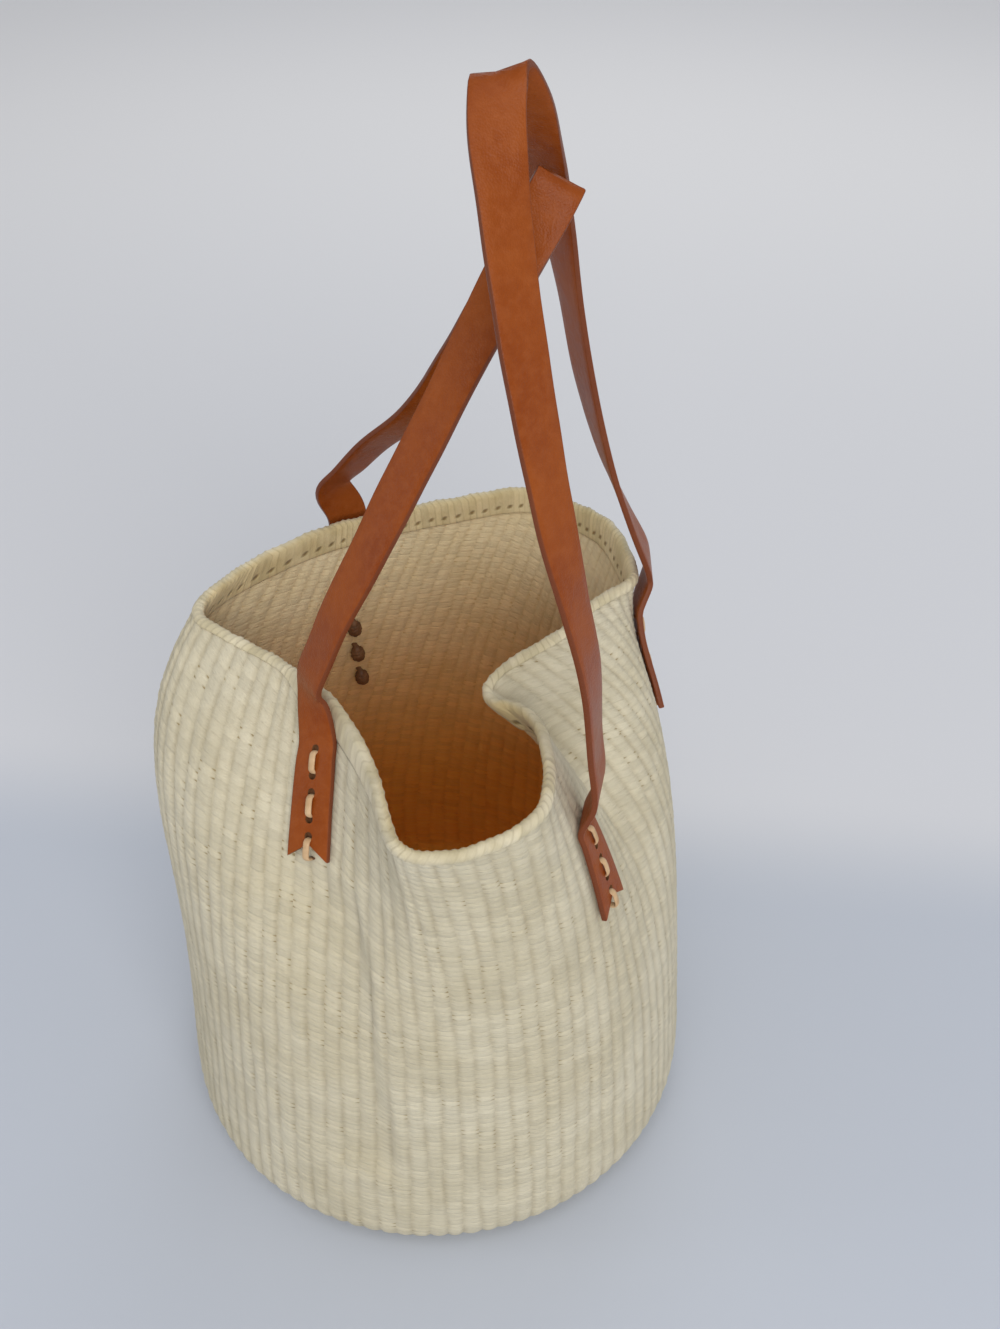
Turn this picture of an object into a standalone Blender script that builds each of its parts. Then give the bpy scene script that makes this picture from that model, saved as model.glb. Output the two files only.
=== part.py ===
"""Kiondo basket: a twined fibre bag with a folded mouth and two leather strap handles.

Metres, +Z up. The origin is the middle of the flat underside, +Y is the rear of the basket,
where the tall side of the mouth is, and -Y is the front, where the wall folds into a narrow lobe.
"""
from math import ceil, cos, pi, radians, sin, tau

import bmesh
import bpy
import numpy as np
from mathutils import Matrix, Vector

# Basket
BASE_RADIUS = 0.145
CORNER_RADIUS = 0.024
BASE_CROWN_HEIGHT = 0.0015
SEAM_LAP = 0.002
SEAM_GAP = 0.0006
WALL_HEIGHT = 0.300
WALL_THICKNESS = 0.0032
MOUTH_TAPER = 0.0224
TAPER_POWER = 1.1
FOLD_START_HEIGHT = 0.030

# Swelling of the wall below the left corner of the mouth
SWELL_REACH = 0.054
SWELL_ANGLE = radians(192)
SWELL_CLIMB_POWER = 4.3
SWELL_SPREAD_POWER = 6

# Border that is folded over the top edge of the wall
BORDER_THICKNESS = 0.0013
BORDER_OUTER_DEPTH = 0.006
BORDER_INNER_DEPTH = 0.012
BORDER_CLEARANCE = 0.0006

# Leather straps. The margins run along a strap: from the upper hole of its last stitch to its
# cut end, and from the upper hole of its first stitch to where it leaves the wall
STRAP_WIDTH = 0.022
STRAP_THICKNESS = 0.003
STRAP_EDGE_BEVEL = 0.0006
NOTCH_DEPTH = 0.0075
CUT_END_MARGIN = 0.011
LEAVING_MARGIN = 0.003
ROW_SPACING = 0.009
END_ROW = 0.001

# Lace stitches that hold the straps to the wall
STITCH_LENGTH = 0.0125
STITCH_PITCH = 0.0203
LACE_RADIUS = 0.0018
KNOT_RADIUS = 0.0027
LACE_BEND_RADIUS = 0.0022
HOLE_CLEARANCE = 0.0005
LACE_SLACK = 0.0007

# Room between neighbours, and lengths that only the making uses
GAP = 0.0003
TAB_CLEARANCE = 0.0008
CUT_OVERRUN = 0.004
PROBE_STEP = 0.0005

# Counts
STATIONS = 88
STITCHES_PER_TAB = 3
HOLE_SIDES = 8
SURVEY_STEPS = 24
BASE_STEPS = 48
SEAT_PROBES = 17
TAB_ROWS = 8

# Top edge of the wall, in turn from the inner tip of the right fold: the angle of the warp that
# ends there in degrees, x and y as shares of the base radius, height as a share of the wall
# height, and how late up the wall the warp turns towards that place
RIM_SHARES = (
    (-20, 0.216, -0.050, 0.955, 4.5), (-15, 0.256, 0.035, 0.962, 5.2), (-6, 0.362, 0.105, 0.978, 6.6),
    (4, 0.467, 0.171, 0.99, 8.3), (15, 0.587, 0.311, 1, 10.0), (21.5, 0.658, 0.371, 1, 10.0),
    (30, 0.743, 0.452, 1, 8.4), (44, 0.733, 0.617, 1, 4.4), (59, 0.673, 0.803, 1, 2.6),
    (74, 0.557, 0.918, 1, 2.0), (91, 0.377, 1.034, 1, 2.0), (114, 0.065, 0.958, 1, 2.0),
    (134, -0.200, 0.863, 1, 2.2), (153, -0.416, 0.758, 1, 3.0), (171, -0.657, 0.552, 1, 4.8),
    (184, -0.752, 0.421, 1, 5.3), (190, -0.792, 0.353, 1, 5.5), (196, -0.803, 0.284, 1, 5.6),
    (202, -0.772, 0.213, 1, 5.7), (208, -0.707, 0.161, 1, 5.7), (214, -0.632, 0.100, 1, 5.8),
    (223, -0.522, 0.020, 1, 5.3), (238, -0.386, -0.110, 1, 4.0), (245, -0.296, -0.211, 1, 3.6),
    (253, -0.210, -0.376, 1, 3.5), (260, -0.145, -0.547, 1, 3.6), (267, -0.100, -0.733, 1, 3.7),
    (272, -0.060, -0.853, 1, 3.7), (277, -0.005, -0.898, 1, 3.7), (285, 0.113, -0.903, 1, 3.7),
    (295, 0.256, -0.843, 1, 3.7), (304, 0.377, -0.733, 1, 3.8), (312, 0.414, -0.602, 0.997, 3.8),
    (324, 0.407, -0.371, 0.985, 3.6), (330, 0.367, -0.216, 0.972, 3.7), (334, 0.301, -0.135, 0.962, 3.9),
    (337, 0.241, -0.105, 0.957, 4.1),
)

# Share of the stations that the bends of the top edge draw to themselves, beside its length
CROWDING_SHARE = 0.9

# Hinge points of the straps: x and y as shares of the base radius, height as a share of the
# wall height
LEFT_BEND_SHARES = ((-0.3570, -0.2288, 1.045), (-0.3660, 0.8178, 1.075))
RIGHT_BEND_SHARES = ((0.5672, -0.5077, 0.94), (0.7840, 0.4917, 1.034))
LEFT_APEX_SHARES = (0.4287, 0.1315, 1.776)
RIGHT_APEX_SHARES = (0.2602, -0.0140, 1.94)

# Middle line of each handle: along the hinge line as a share of its length, then reach and
# sideways lean as shares of the handle's reach
LEFT_LOOP_SHARES = (
    (0.01, 0.08, -0.010), (0.025, 0.16, -0.018), (0.07, 0.295, -0.018), (0.13, 0.41, -0.017),
    (0.21, 0.57, -0.014), (0.275, 0.695, -0.013), (0.345, 0.835, -0.008), (0.39, 0.935, -0.003),
    (0.43, 1.0, 0.0), (0.467, 0.968, 0.006), (0.502, 0.90, 0.014), (0.585, 0.755, 0.031),
    (0.70, 0.56, 0.053), (0.84, 0.33, 0.058), (0.94, 0.163, 0.024), (0.975, 0.07, 0.010),
)
RIGHT_LOOP_SHARES = (
    (0.035, 0.10, 0.012), (0.065, 0.25, 0.032), (0.10, 0.38, 0.032), (0.17, 0.49, 0.023),
    (0.27, 0.61, 0.014), (0.42, 0.76, 0.003), (0.56, 0.885, -0.002), (0.68, 0.965, -0.005),
    (0.762, 1.0, 0.0), (0.843, 0.941, 0.006), (0.943, 0.857, -0.008), (1.036, 0.766, -0.022),
    (1.09, 0.68, -0.031), (1.12, 0.52, -0.044), (1.10, 0.36, -0.050), (1.06, 0.20, -0.040),
    (1.02, 0.09, -0.018),
)

# Share of its reach at which a handle has turned fully from edge on to broad side out
TWIST_REACH_SHARE = 0.80

# Where each strap end lies: the angle in degrees of the warp under it at the top edge and at its
# cut end, then as shares of the wall height the depth of its first stitch below the top edge and
# how far it passes outside that edge, with zero where it hangs clear of the edge
TAB_SHARES = {
    "left_front": (244, 244, 0.1035, 0.035),
    "left_rear": (143, 121, 0.2275, 0.025),
    "right_front": (-43, -40, 0.155, 0.0),
    "right_rear": (34.5, 17, 0.100, 0.0233),
}

# How far to each side of a strap's middle the wall is felt for bulges, as a share of its width,
# and where along a stitch the wall is felt for hollows, as shares of the stitch length
SEAT_REACH_SHARE = 0.55
DIP_SHARES = (-0.6, -0.3, 0.3, 0.6)

# Half the knot's length as a share of half the stitch length
KNOT_SHARE = 0.333


def remove_scene_objects():
    for item in list(bpy.data.objects):
        bpy.data.objects.remove(item, do_unlink=True)


def make_collection(name):
    collection = bpy.data.collections.new(name)
    bpy.context.scene.collection.children.link(collection)
    return collection


def make_material(name, colour, roughness):
    material = bpy.data.materials.new(name)
    material.use_nodes = True
    shader = material.node_tree.nodes["Principled BSDF"]
    shader.inputs["Base Color"].default_value = (*colour, 1.0)
    shader.inputs["Roughness"].default_value = roughness
    shader.inputs["Metallic"].default_value = 0.0
    return material


def smoothstep(value):
    value = np.clip(value, 0.0, 1.0)
    return value * value * (3 - 2 * value)


def unit(vector):
    return vector / np.linalg.norm(vector)


def catmull_rom(points, closed, steps):
    """Smooth line through the points that does not overshoot where their spacing is uneven."""
    points = np.asarray(points, dtype=float)
    count = len(points)
    if closed:
        padded = np.vstack([points[-1:], points, points[:2]])
    else:
        padded = np.vstack([2 * points[0] - points[1], points, 2 * points[-1] - points[-2]])
    line = []
    for span in range(count if closed else count - 1):
        corners = padded[span:span + 4]
        strides = np.sqrt(np.linalg.norm(np.diff(corners[:, :3], axis=0), axis=1))
        knots = np.concatenate([[0.0], np.cumsum(strides)])
        for place in np.linspace(knots[1], knots[2], steps, endpoint=False):
            line.append(curve_place(corners, knots, place))
    if not closed:
        line.append(points[-1])
    return np.array(line)


def curve_place(corners, knots, place):
    def mix(first, second, start, stop):
        return (first * (stop - place) + second * (place - start)) / (stop - start)

    lower = [mix(corners[step], corners[step + 1], knots[step], knots[step + 1])
             for step in range(3)]
    upper = [mix(lower[step], lower[step + 1], knots[step], knots[step + 2])
             for step in range(2)]
    return mix(upper[0], upper[1], knots[1], knots[2])


def lengths_along(line):
    steps = np.linalg.norm(np.diff(line[:, :3], axis=0), axis=1)
    return np.concatenate([[0.0], np.cumsum(steps)])


def survey_rim():
    """The top edge as a closed line of places, warp angles and turning exponents."""
    rows = [(share[1] * BASE_RADIUS, share[2] * BASE_RADIUS, share[3] * WALL_HEIGHT,
             share[4], cos(radians(share[0])), sin(radians(share[0]))) for share in RIM_SHARES]
    line = catmull_rom(rows, True, SURVEY_STEPS)
    line = np.vstack([line, line[:1]])
    angles = np.unwrap(np.arctan2(line[:, 5], line[:, 4]))
    return angles, line[:, :4]


RIM_ANGLES, RIM_LINE = survey_rim()


def rim_point(angle):
    """Place on the top edge where a warp ends, with its turning exponent as a fourth value."""
    turned = RIM_ANGLES[0] + (angle - RIM_ANGLES[0]) % tau
    return np.array([np.interp(turned, RIM_ANGLES, RIM_LINE[:, column]) for column in range(4)])


def wall_point(angle, height):
    """Outer face of the wall on one warp, at a height that the fold has not yet lowered."""
    ratio = height / WALL_HEIGHT
    facing = max(cos(angle - SWELL_ANGLE), 0.0)
    radius = BASE_RADIUS - MOUTH_TAPER * ratio ** TAPER_POWER
    radius += SWELL_REACH * ratio ** SWELL_CLIMB_POWER * facing ** SWELL_SPREAD_POWER
    if height < CORNER_RADIUS:
        turn = np.arccos(1 - height / CORNER_RADIUS)
        radius -= CORNER_RADIUS * (1 - sin(turn))
    ring = np.array([radius * cos(angle), radius * sin(angle), height])
    edge = rim_point(angle)
    climb = np.clip((height - FOLD_START_HEIGHT) / (WALL_HEIGHT - FOLD_START_HEIGHT), 0.0, 1.0)
    share = climb ** edge[3]
    folded = np.array([edge[0], edge[1], ratio * edge[2]])
    return ring + (folded - ring) * share


def wall_frame(angle, height):
    """Point on the wall's outer face, its outward normal and the way up square to its weft."""
    turn_step = PROBE_STEP / BASE_RADIUS
    top = min(height + PROBE_STEP, WALL_HEIGHT)
    around = wall_point(angle + turn_step, height) - wall_point(angle - turn_step, height)
    upward = wall_point(angle, top) - wall_point(angle, height - PROBE_STEP)
    normal = unit(np.cross(around, upward))
    return wall_point(angle, height), normal, np.cross(normal, unit(around))


def station_angles():
    """Warp angles that lie closer together where the top edge turns sharply."""
    steps = np.diff(RIM_LINE[:, :3], axis=0)
    headings = np.unwrap(np.arctan2(steps[:, 1], steps[:, 0]))
    turning = np.abs(np.diff(headings, append=headings[0] + tau))
    lengths = np.linalg.norm(steps, axis=1)
    weights = lengths / lengths.sum() + CROWDING_SHARE * turning / turning.sum()
    window = SURVEY_STEPS // 2
    wrapped = np.concatenate([weights[-window:], weights, weights[:window]])
    weights = np.convolve(wrapped, np.ones(2 * window + 1), "valid")
    filled = np.concatenate([[0.0], np.cumsum(weights)])
    wanted = np.arange(STATIONS) / STATIONS * filled[-1]
    return np.interp(wanted, filled, RIM_ANGLES)


def mesh_object(name, vertices, faces, material, collection, origin=(0, 0, 0)):
    origin = Vector(origin)
    mesh = bpy.data.meshes.new(name)
    mesh.from_pydata([Vector(vertex) - origin for vertex in vertices], [], faces)
    mesh.update()
    mesh.materials.append(material)
    item = bpy.data.objects.new(name, mesh)
    item.location = origin
    collection.objects.link(item)
    return item


def grid_faces(rows, columns, closed):
    """Quads over a grid of rows, each row running around the object."""
    faces = []
    for row in range(rows - 1):
        for column in range(columns if closed else columns - 1):
            beside = (column + 1) % columns
            faces.append((row * columns + column, row * columns + beside,
                          (row + 1) * columns + beside, (row + 1) * columns + column))
    return faces


def smooth_shade(item, angle=radians(40)):
    item.data.shade_smooth()
    item.data.set_sharp_from_angle(angle=angle)


def add_solidify(item, thickness, offset):
    solid = item.modifiers.new("Thickness", "SOLIDIFY")
    solid.thickness = thickness
    solid.offset = offset
    solid.use_even_offset = True
    return solid


def make_wall(angles, material, collection):
    corner_heights = [CORNER_RADIUS * (1 - cos(radians(turn))) for turn in (24, 52, 90)]
    upper_shares = (0.18, 0.38, 0.54, 0.67, 0.77, 0.85, 0.91, 0.956, 0.978, 1.0)
    climb = WALL_HEIGHT - CORNER_RADIUS
    heights = corner_heights + [CORNER_RADIUS + climb * share for share in upper_shares]
    flat_edge = BASE_RADIUS - CORNER_RADIUS
    vertices = []
    for radius in (flat_edge - SEAM_LAP, flat_edge):
        vertices += [(radius * cos(angle), radius * sin(angle), 0.0) for angle in angles]
    for height in heights:
        vertices += [wall_point(angle, height) for angle in angles]
    faces = grid_faces(len(heights) + 2, len(angles), True)
    wall = mesh_object("basket_wall", vertices, faces, material, collection)
    add_solidify(wall, WALL_THICKNESS, -1.0)
    smooth_shade(wall)
    return wall


def make_base(material, collection):
    """Round start of the weaving, flat underneath and slightly crowned inside."""
    half_slope = 5
    rim = BASE_RADIUS - CORNER_RADIUS - SEAM_LAP - SEAM_GAP
    profile = [(rim * (1 - step / half_slope), 0.0,
                WALL_THICKNESS + BASE_CROWN_HEIGHT * sin(step / half_slope * pi / 2))
               for step in range(half_slope + 1)]
    profile = profile[::-1] + [(rim, 0.0, 0.0), (0.0, 0.0, 0.0)]
    edges = [(index, index + 1) for index in range(len(profile) - 1)]
    mesh = bpy.data.meshes.new("basket_base")
    mesh.from_pydata(profile, edges, [])
    mesh.materials.append(material)
    base = bpy.data.objects.new("basket_base", mesh)
    collection.objects.link(base)
    turn = base.modifiers.new("Turn", "SCREW")
    turn.steps = BASE_STEPS
    turn.render_steps = BASE_STEPS
    turn.use_merge_vertices = True
    turn.merge_threshold = 0.0001
    turn.use_smooth_shade = True
    return base


def border_point(angle, out, up):
    """Place beside the top edge: outwards from the wall's outer face, and up or down along it."""
    point, normal, upward = wall_frame(angle, WALL_HEIGHT)
    if up < 0:
        point, normal, upward = wall_frame(angle, WALL_HEIGHT + up * upward[2])
        return point + normal * out
    return point + normal * out + upward * up


def make_border(angles, material, collection):
    """Plaited edge folded over the top of the wall: a strip bent to an upside down U."""
    outer = BORDER_CLEARANCE
    inner = -WALL_THICKNESS - BORDER_CLEARANCE
    middle = (outer + inner) / 2
    half = (outer - inner) / 2
    top = BORDER_CLEARANCE
    section = [(outer, -BORDER_OUTER_DEPTH), (outer, top)]
    section += [(middle + half * cos(turn), top + half * sin(turn))
                for turn in (radians(45), radians(90), radians(135))]
    section += [(inner, top), (inner, -BORDER_INNER_DEPTH / 2), (inner, -BORDER_INNER_DEPTH)]
    vertices = [border_point(angle, out, up) for out, up in section for angle in angles]
    faces = grid_faces(len(section), len(angles), True)
    border = mesh_object("rim_border", vertices, faces, material, collection)
    add_solidify(border, BORDER_THICKNESS, 1.0).use_even_offset = False
    smooth_shade(border)
    return border


def seat_lift(angle, height):
    """How far the wall bulges towards a flat strap that lies across it."""
    point, normal, upward = wall_frame(angle, height)
    across = np.cross(upward, normal)
    reach = SEAT_REACH_SHARE * STRAP_WIDTH
    turn = 2 * reach / BASE_RADIUS
    lift = 0.0
    for share in np.linspace(-1.0, 1.0, SEAT_PROBES):
        offset = wall_point(angle + turn * share, height) - point
        if abs(np.dot(offset, across)) < reach:
            lift = max(lift, float(np.dot(offset, normal)))
    return lift


class Tab:
    """One laced strap end: its run down the wall, from the top edge to its cut end."""

    def __init__(self, name):
        self.name = name
        top_degrees, end_degrees, first_share, pass_share = TAB_SHARES[name]
        self.top_angle = radians(top_degrees)
        self.end_angle = radians(end_degrees)
        self.pass_out = pass_share * WALL_HEIGHT
        first = first_share * WALL_HEIGHT
        self.stitch_depths = [first + STITCH_PITCH * step for step in range(STITCHES_PER_TAB)]
        self.top_depth = first - STITCH_LENGTH / 2 - LEAVING_MARGIN
        self.end_depth = self.stitch_depths[-1] - STITCH_LENGTH / 2 + CUT_END_MARGIN
        self.heights = np.linspace(WALL_HEIGHT, WALL_HEIGHT - 1.5 * self.end_depth, SURVEY_STEPS)
        line = np.array([wall_point(self.angle_at(height), height) for height in self.heights])
        self.depths = lengths_along(line)

    def angle_at(self, height):
        drop = (WALL_HEIGHT - height) / self.end_depth
        return self.top_angle + (self.end_angle - self.top_angle) * min(drop, 1.0)

    def place(self, depth):
        height = float(np.interp(depth, self.depths, self.heights))
        angle = self.angle_at(height)
        point, normal, upward = wall_frame(angle, height)
        return point, normal, seat_lift(angle, height)

    def row(self, depth):
        """Middle of the strap at a depth, with its outward normal, upward way and lift."""
        point, normal, lift = self.place(depth)
        upward = self.place(depth - PROBE_STEP)[0] - self.place(depth + PROBE_STEP)[0]
        upward = unit(upward - normal * np.dot(upward, normal))
        centre = point + normal * (lift + TAB_CLEARANCE + STRAP_THICKNESS / 2)
        return centre, normal, upward, lift

    def dip(self, depth):
        """How far the wall falls away inwards between and beside the two holes of a stitch."""
        point, normal, _ = self.place(depth)
        near = [self.place(depth + STITCH_LENGTH * share)[0] for share in DIP_SHARES]
        return max(0.0, max(float(np.dot(point - place, normal)) for place in near))

    def rows(self):
        return [self.row(depth) for depth in np.linspace(self.top_depth, self.end_depth, TAB_ROWS)]


class Strap:
    """A whole handle strap from its front end to its rear end, before it is split."""

    def __init__(self, side, bend_shares, apex_shares, loop_shares):
        scale = np.array([BASE_RADIUS, BASE_RADIUS, WALL_HEIGHT])
        self.side = side
        self.sign = 1.0 if side == "left" else -1.0
        self.front_bend, self.rear_bend = (np.array(share) * scale for share in bend_shares)
        self.span = float(np.linalg.norm(self.rear_bend - self.front_bend))
        self.axis = unit(self.rear_bend - self.front_bend)
        towards = np.array(apex_shares) * scale - self.front_bend
        reach = towards - self.axis * np.dot(towards, self.axis)
        self.reach = float(np.linalg.norm(reach))
        self.reach_way = unit(reach)
        self.lean_way = np.cross(self.axis, self.reach_way)
        self.tabs = {end: Tab(side + "_" + end) for end in ("front", "rear")}
        self.trace(loop_shares)

    def loop_width(self, reach_share, end):
        """The strap stands edge on at its bends and turns broad side out towards the top."""
        turn = smoothstep(reach_share / TWIST_REACH_SHARE) * pi / 2
        sign = self.sign if end == "front" else -self.sign
        return self.axis * sign * cos(turn) - self.lean_way * sin(turn)

    def tab_controls(self, end):
        """Control points and widths from the cut end up to the top edge."""
        tab = self.tabs[end]
        controls = []
        for centre, normal, upward, _ in reversed(tab.rows()):
            heading = upward if end == "front" else -upward
            controls.append((centre, np.cross(normal, heading)))
        if tab.pass_out > 0:
            point, normal, upward = wall_frame(tab.top_angle, WALL_HEIGHT)
            heading = upward if end == "front" else -upward
            controls.append((point + normal * tab.pass_out, np.cross(normal, heading)))
        return controls

    def trace(self, loop_shares):
        front = self.tab_controls("front")
        rear = self.tab_controls("rear")[::-1]
        apex = max(range(len(loop_shares)), key=lambda index: loop_shares[index][1])
        loop = [(self.front_bend, self.axis * self.sign)]
        for index, (along, reach_share, lean) in enumerate(loop_shares):
            point = (self.front_bend + self.axis * along * self.span
                     + self.reach_way * reach_share * self.reach
                     + self.lean_way * lean * self.reach)
            end = "front" if index <= apex else "rear"
            loop.append((point, self.loop_width(reach_share, end)))
        loop.append((self.rear_bend, -self.axis * self.sign))
        controls = front + loop + rear
        self.line = catmull_rom([point for point, width in controls], False, SURVEY_STEPS)
        self.lengths = lengths_along(self.line)
        self.marks = self.lengths[::SURVEY_STEPS]
        self.mark_widths = np.array([width for point, width in controls])
        self.front_split = self.marks[len(front)]
        self.rear_split = self.marks[len(front) + len(loop) - 1]

    def point(self, travelled):
        return np.array([np.interp(travelled, self.lengths, self.line[:, axis])
                         for axis in range(3)])

    def frame(self, travelled):
        """Place on the middle line with the strap's heading, width way and outward way."""
        before = self.point(max(travelled - ROW_SPACING / 4, 0.0))
        after = self.point(min(travelled + ROW_SPACING / 4, self.lengths[-1]))
        heading = unit(after - before)
        width = np.array([np.interp(travelled, self.marks, self.mark_widths[:, axis])
                          for axis in range(3)])
        width = unit(width - heading * np.dot(width, heading))
        return self.point(travelled), heading, width, np.cross(heading, width)

    def pivot(self, end):
        """Point on the strap's outer face at the split, where the leather bends."""
        travelled = self.front_split if end == "front" else self.rear_split
        centre, heading, width, outward = self.frame(travelled)
        return centre + outward * STRAP_THICKNESS / 2


def ribbon(name, strap, start, stop, material, collection, origin=(0, 0, 0)):
    """Flat leather strip along part of a strap, with its two ends square to its run."""
    inner_rows = ceil((stop - start) / ROW_SPACING)
    marks = [start, *np.linspace(start + END_ROW, stop - END_ROW, inner_rows), stop]
    vertices = []
    for travelled in marks:
        centre, heading, width, outward = strap.frame(travelled)
        for side in (-1, 1):
            vertices.append(centre + width * side * STRAP_WIDTH / 2)
    item = mesh_object(name, vertices, grid_faces(len(marks), 2, False), material, collection, origin)
    solid = add_solidify(item, STRAP_THICKNESS, 0.0)
    solid.use_even_offset = False
    return item


def bevel_edges(item):
    bevel = item.modifiers.new("Worn edges", "BEVEL")
    bevel.width = STRAP_EDGE_BEVEL
    bevel.segments = 1
    bevel.limit_method = "ANGLE"
    bevel.angle_limit = radians(60)
    smooth_shade(item, radians(30))


def cutter_object(name, mesh, collection):
    item = bpy.data.objects.new(name, mesh)
    item.hide_render = True
    item.display_type = "WIRE"
    collection.objects.link(item)
    return item


def holes_cutter(name, tab, collection):
    """Round rods, one for each place where the lace goes through the strap and the wall."""
    mesh = bpy.data.meshes.new(name)
    shape = bmesh.new()
    for depth in tab.stitch_depths:
        centre, normal, upward, lift = tab.row(depth)
        length = 2 * (STRAP_THICKNESS + WALL_THICKNESS + lift + CUT_OVERRUN)
        turn = Vector((0, 0, 1)).rotation_difference(Vector(normal)).to_matrix().to_4x4()
        for along in (STITCH_LENGTH / 2, -STITCH_LENGTH / 2):
            place = Matrix.Translation(Vector(centre + upward * along)) @ turn
            bmesh.ops.create_cone(shape, cap_ends=True, segments=HOLE_SIDES, depth=length,
                                  radius1=LACE_RADIUS + HOLE_CLEARANCE,
                                  radius2=LACE_RADIUS + HOLE_CLEARANCE, matrix=place)
    shape.to_mesh(mesh)
    shape.free()
    return cutter_object(name, mesh, collection)


def notch_cutter(name, tab, collection):
    """Wedge that cuts the swallowtail out of a strap end."""
    centre, normal, upward, _ = tab.row(tab.end_depth)
    across = np.cross(normal, upward)
    half = STRAP_WIDTH / 2
    below = CUT_OVERRUN
    run = half * (NOTCH_DEPTH + below) / NOTCH_DEPTH
    outline = [upward * NOTCH_DEPTH, -upward * below - across * run, -upward * below + across * run]
    vertices = []
    for push in (-1.0, 1.0):
        vertices += [centre + corner + normal * push * (STRAP_THICKNESS + CUT_OVERRUN)
                     for corner in outline]
    faces = [(0, 1, 2), (5, 4, 3), (0, 3, 4, 1), (1, 4, 5, 2), (2, 5, 3, 0)]
    mesh = bpy.data.meshes.new(name)
    mesh.from_pydata([Vector(vertex) for vertex in vertices], [], faces)
    shape = bmesh.new()
    shape.from_mesh(mesh)
    bmesh.ops.recalc_face_normals(shape, faces=shape.faces)
    shape.to_mesh(mesh)
    shape.free()
    return cutter_object(name, mesh, collection)


def cut(item, cutter):
    trim = item.modifiers.new("Cut " + cutter.name, "BOOLEAN")
    trim.operation = "DIFFERENCE"
    trim.solver = "EXACT"
    trim.object = cutter


def stitch_line(tab, depth):
    """Rounded loop of lace through two holes, with its knot on the inside of the wall."""
    centre, normal, upward, lift = tab.row(depth)
    lift += tab.dip(depth)
    top = STRAP_THICKNESS / 2 + LACE_SLACK + LACE_RADIUS
    inside = STRAP_THICKNESS / 2 + TAB_CLEARANCE + lift + WALL_THICKNESS
    bottom = -(inside + LACE_SLACK + KNOT_RADIUS)
    half = STITCH_LENGTH / 2
    bend = LACE_BEND_RADIUS
    corners = ((half, top, 0), (-half, top, 90), (-half, bottom, 180), (half, bottom, 270))
    points = []
    for along, out, start in corners:
        middle = (along - bend * (1 if along > 0 else -1), out - bend * (1 if out > 0 else -1))
        for turn in (start, start + 45, start + 90):
            angle = radians(turn)
            points.append((middle[0] + bend * cos(angle), middle[1] + bend * sin(angle), 1.0))
        if start == 180:
            swell = KNOT_RADIUS / LACE_RADIUS
            points.append((-half * KNOT_SHARE, out, swell))
            points.append((half * KNOT_SHARE, out, swell))
    return [(centre + upward * along + normal * out, radius) for along, out, radius in points]


def make_stitch(name, points, material, collection):
    curve = bpy.data.curves.new(name, "CURVE")
    curve.dimensions = "3D"
    curve.bevel_depth = LACE_RADIUS
    curve.bevel_resolution = 1
    curve.use_fill_caps = True
    spline = curve.splines.new("POLY")
    spline.points.add(len(points) - 1)
    for target, (place, radius) in zip(spline.points, points):
        target.co = (*place, 1.0)
        target.radius = radius
    spline.use_cyclic_u = True
    curve.materials.append(material)
    item = bpy.data.objects.new(name, curve)
    collection.objects.link(item)
    return item


def make_tab(strap, end, wall, leather, parts, cutters):
    tab = strap.tabs[end]
    name = tab.name + "_tab"
    if end == "front":
        item = ribbon(name, strap, 0.0, strap.front_split - GAP / 2, leather, parts)
    else:
        item = ribbon(name, strap, strap.rear_split + GAP / 2, strap.lengths[-1], leather, parts)
    cut(item, notch_cutter(name + "_notch", tab, cutters))
    holes = holes_cutter(tab.name + "_holes", tab, cutters)
    cut(item, holes)
    cut(wall, holes)
    bevel_edges(item)
    return item


def make_stitches(tab, lace, parts):
    for number, depth in enumerate(tab.stitch_depths):
        make_stitch(f"{tab.name}_stitch_{number + 1}", stitch_line(tab, depth), lace, parts)


def make_handle(strap, wall, leather, lace, parts, cutters):
    make_tab(strap, "front", wall, leather, parts, cutters)
    make_tab(strap, "rear", wall, leather, parts, cutters)
    loop = ribbon(strap.side + "_handle_loop", strap, strap.front_split + GAP / 2,
                  strap.rear_split - GAP / 2, leather, parts, strap.pivot("front"))
    bevel_edges(loop)
    for end in ("front", "rear"):
        make_stitches(strap.tabs[end], lace, parts)


def build():
    remove_scene_objects()
    parts = make_collection("kiondo_basket")
    cutters = make_collection("cutters")
    fibre = make_material("sisal", (0.61, 0.55, 0.38), 0.85)
    leather = make_material("tan_leather", (0.376, 0.122, 0.045), 0.5)
    lace = make_material("rawhide_lace", (0.55, 0.36, 0.20), 0.6)
    angles = station_angles()
    wall = make_wall(angles, fibre, parts)
    make_base(fibre, parts)
    make_border(angles, fibre, parts)
    left = Strap("left", LEFT_BEND_SHARES, LEFT_APEX_SHARES, LEFT_LOOP_SHARES)
    right = Strap("right", RIGHT_BEND_SHARES, RIGHT_APEX_SHARES, RIGHT_LOOP_SHARES)
    make_handle(left, wall, leather, lace, parts, cutters)
    make_handle(right, wall, leather, lace, parts, cutters)


build()
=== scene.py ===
"""Kiondo basket: twined fibre, plaited border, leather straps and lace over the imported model."""

from math import cos, pi, radians, sin, tau

import bmesh
import bpy
import numpy as np
from mathutils import Matrix, Vector


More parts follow.
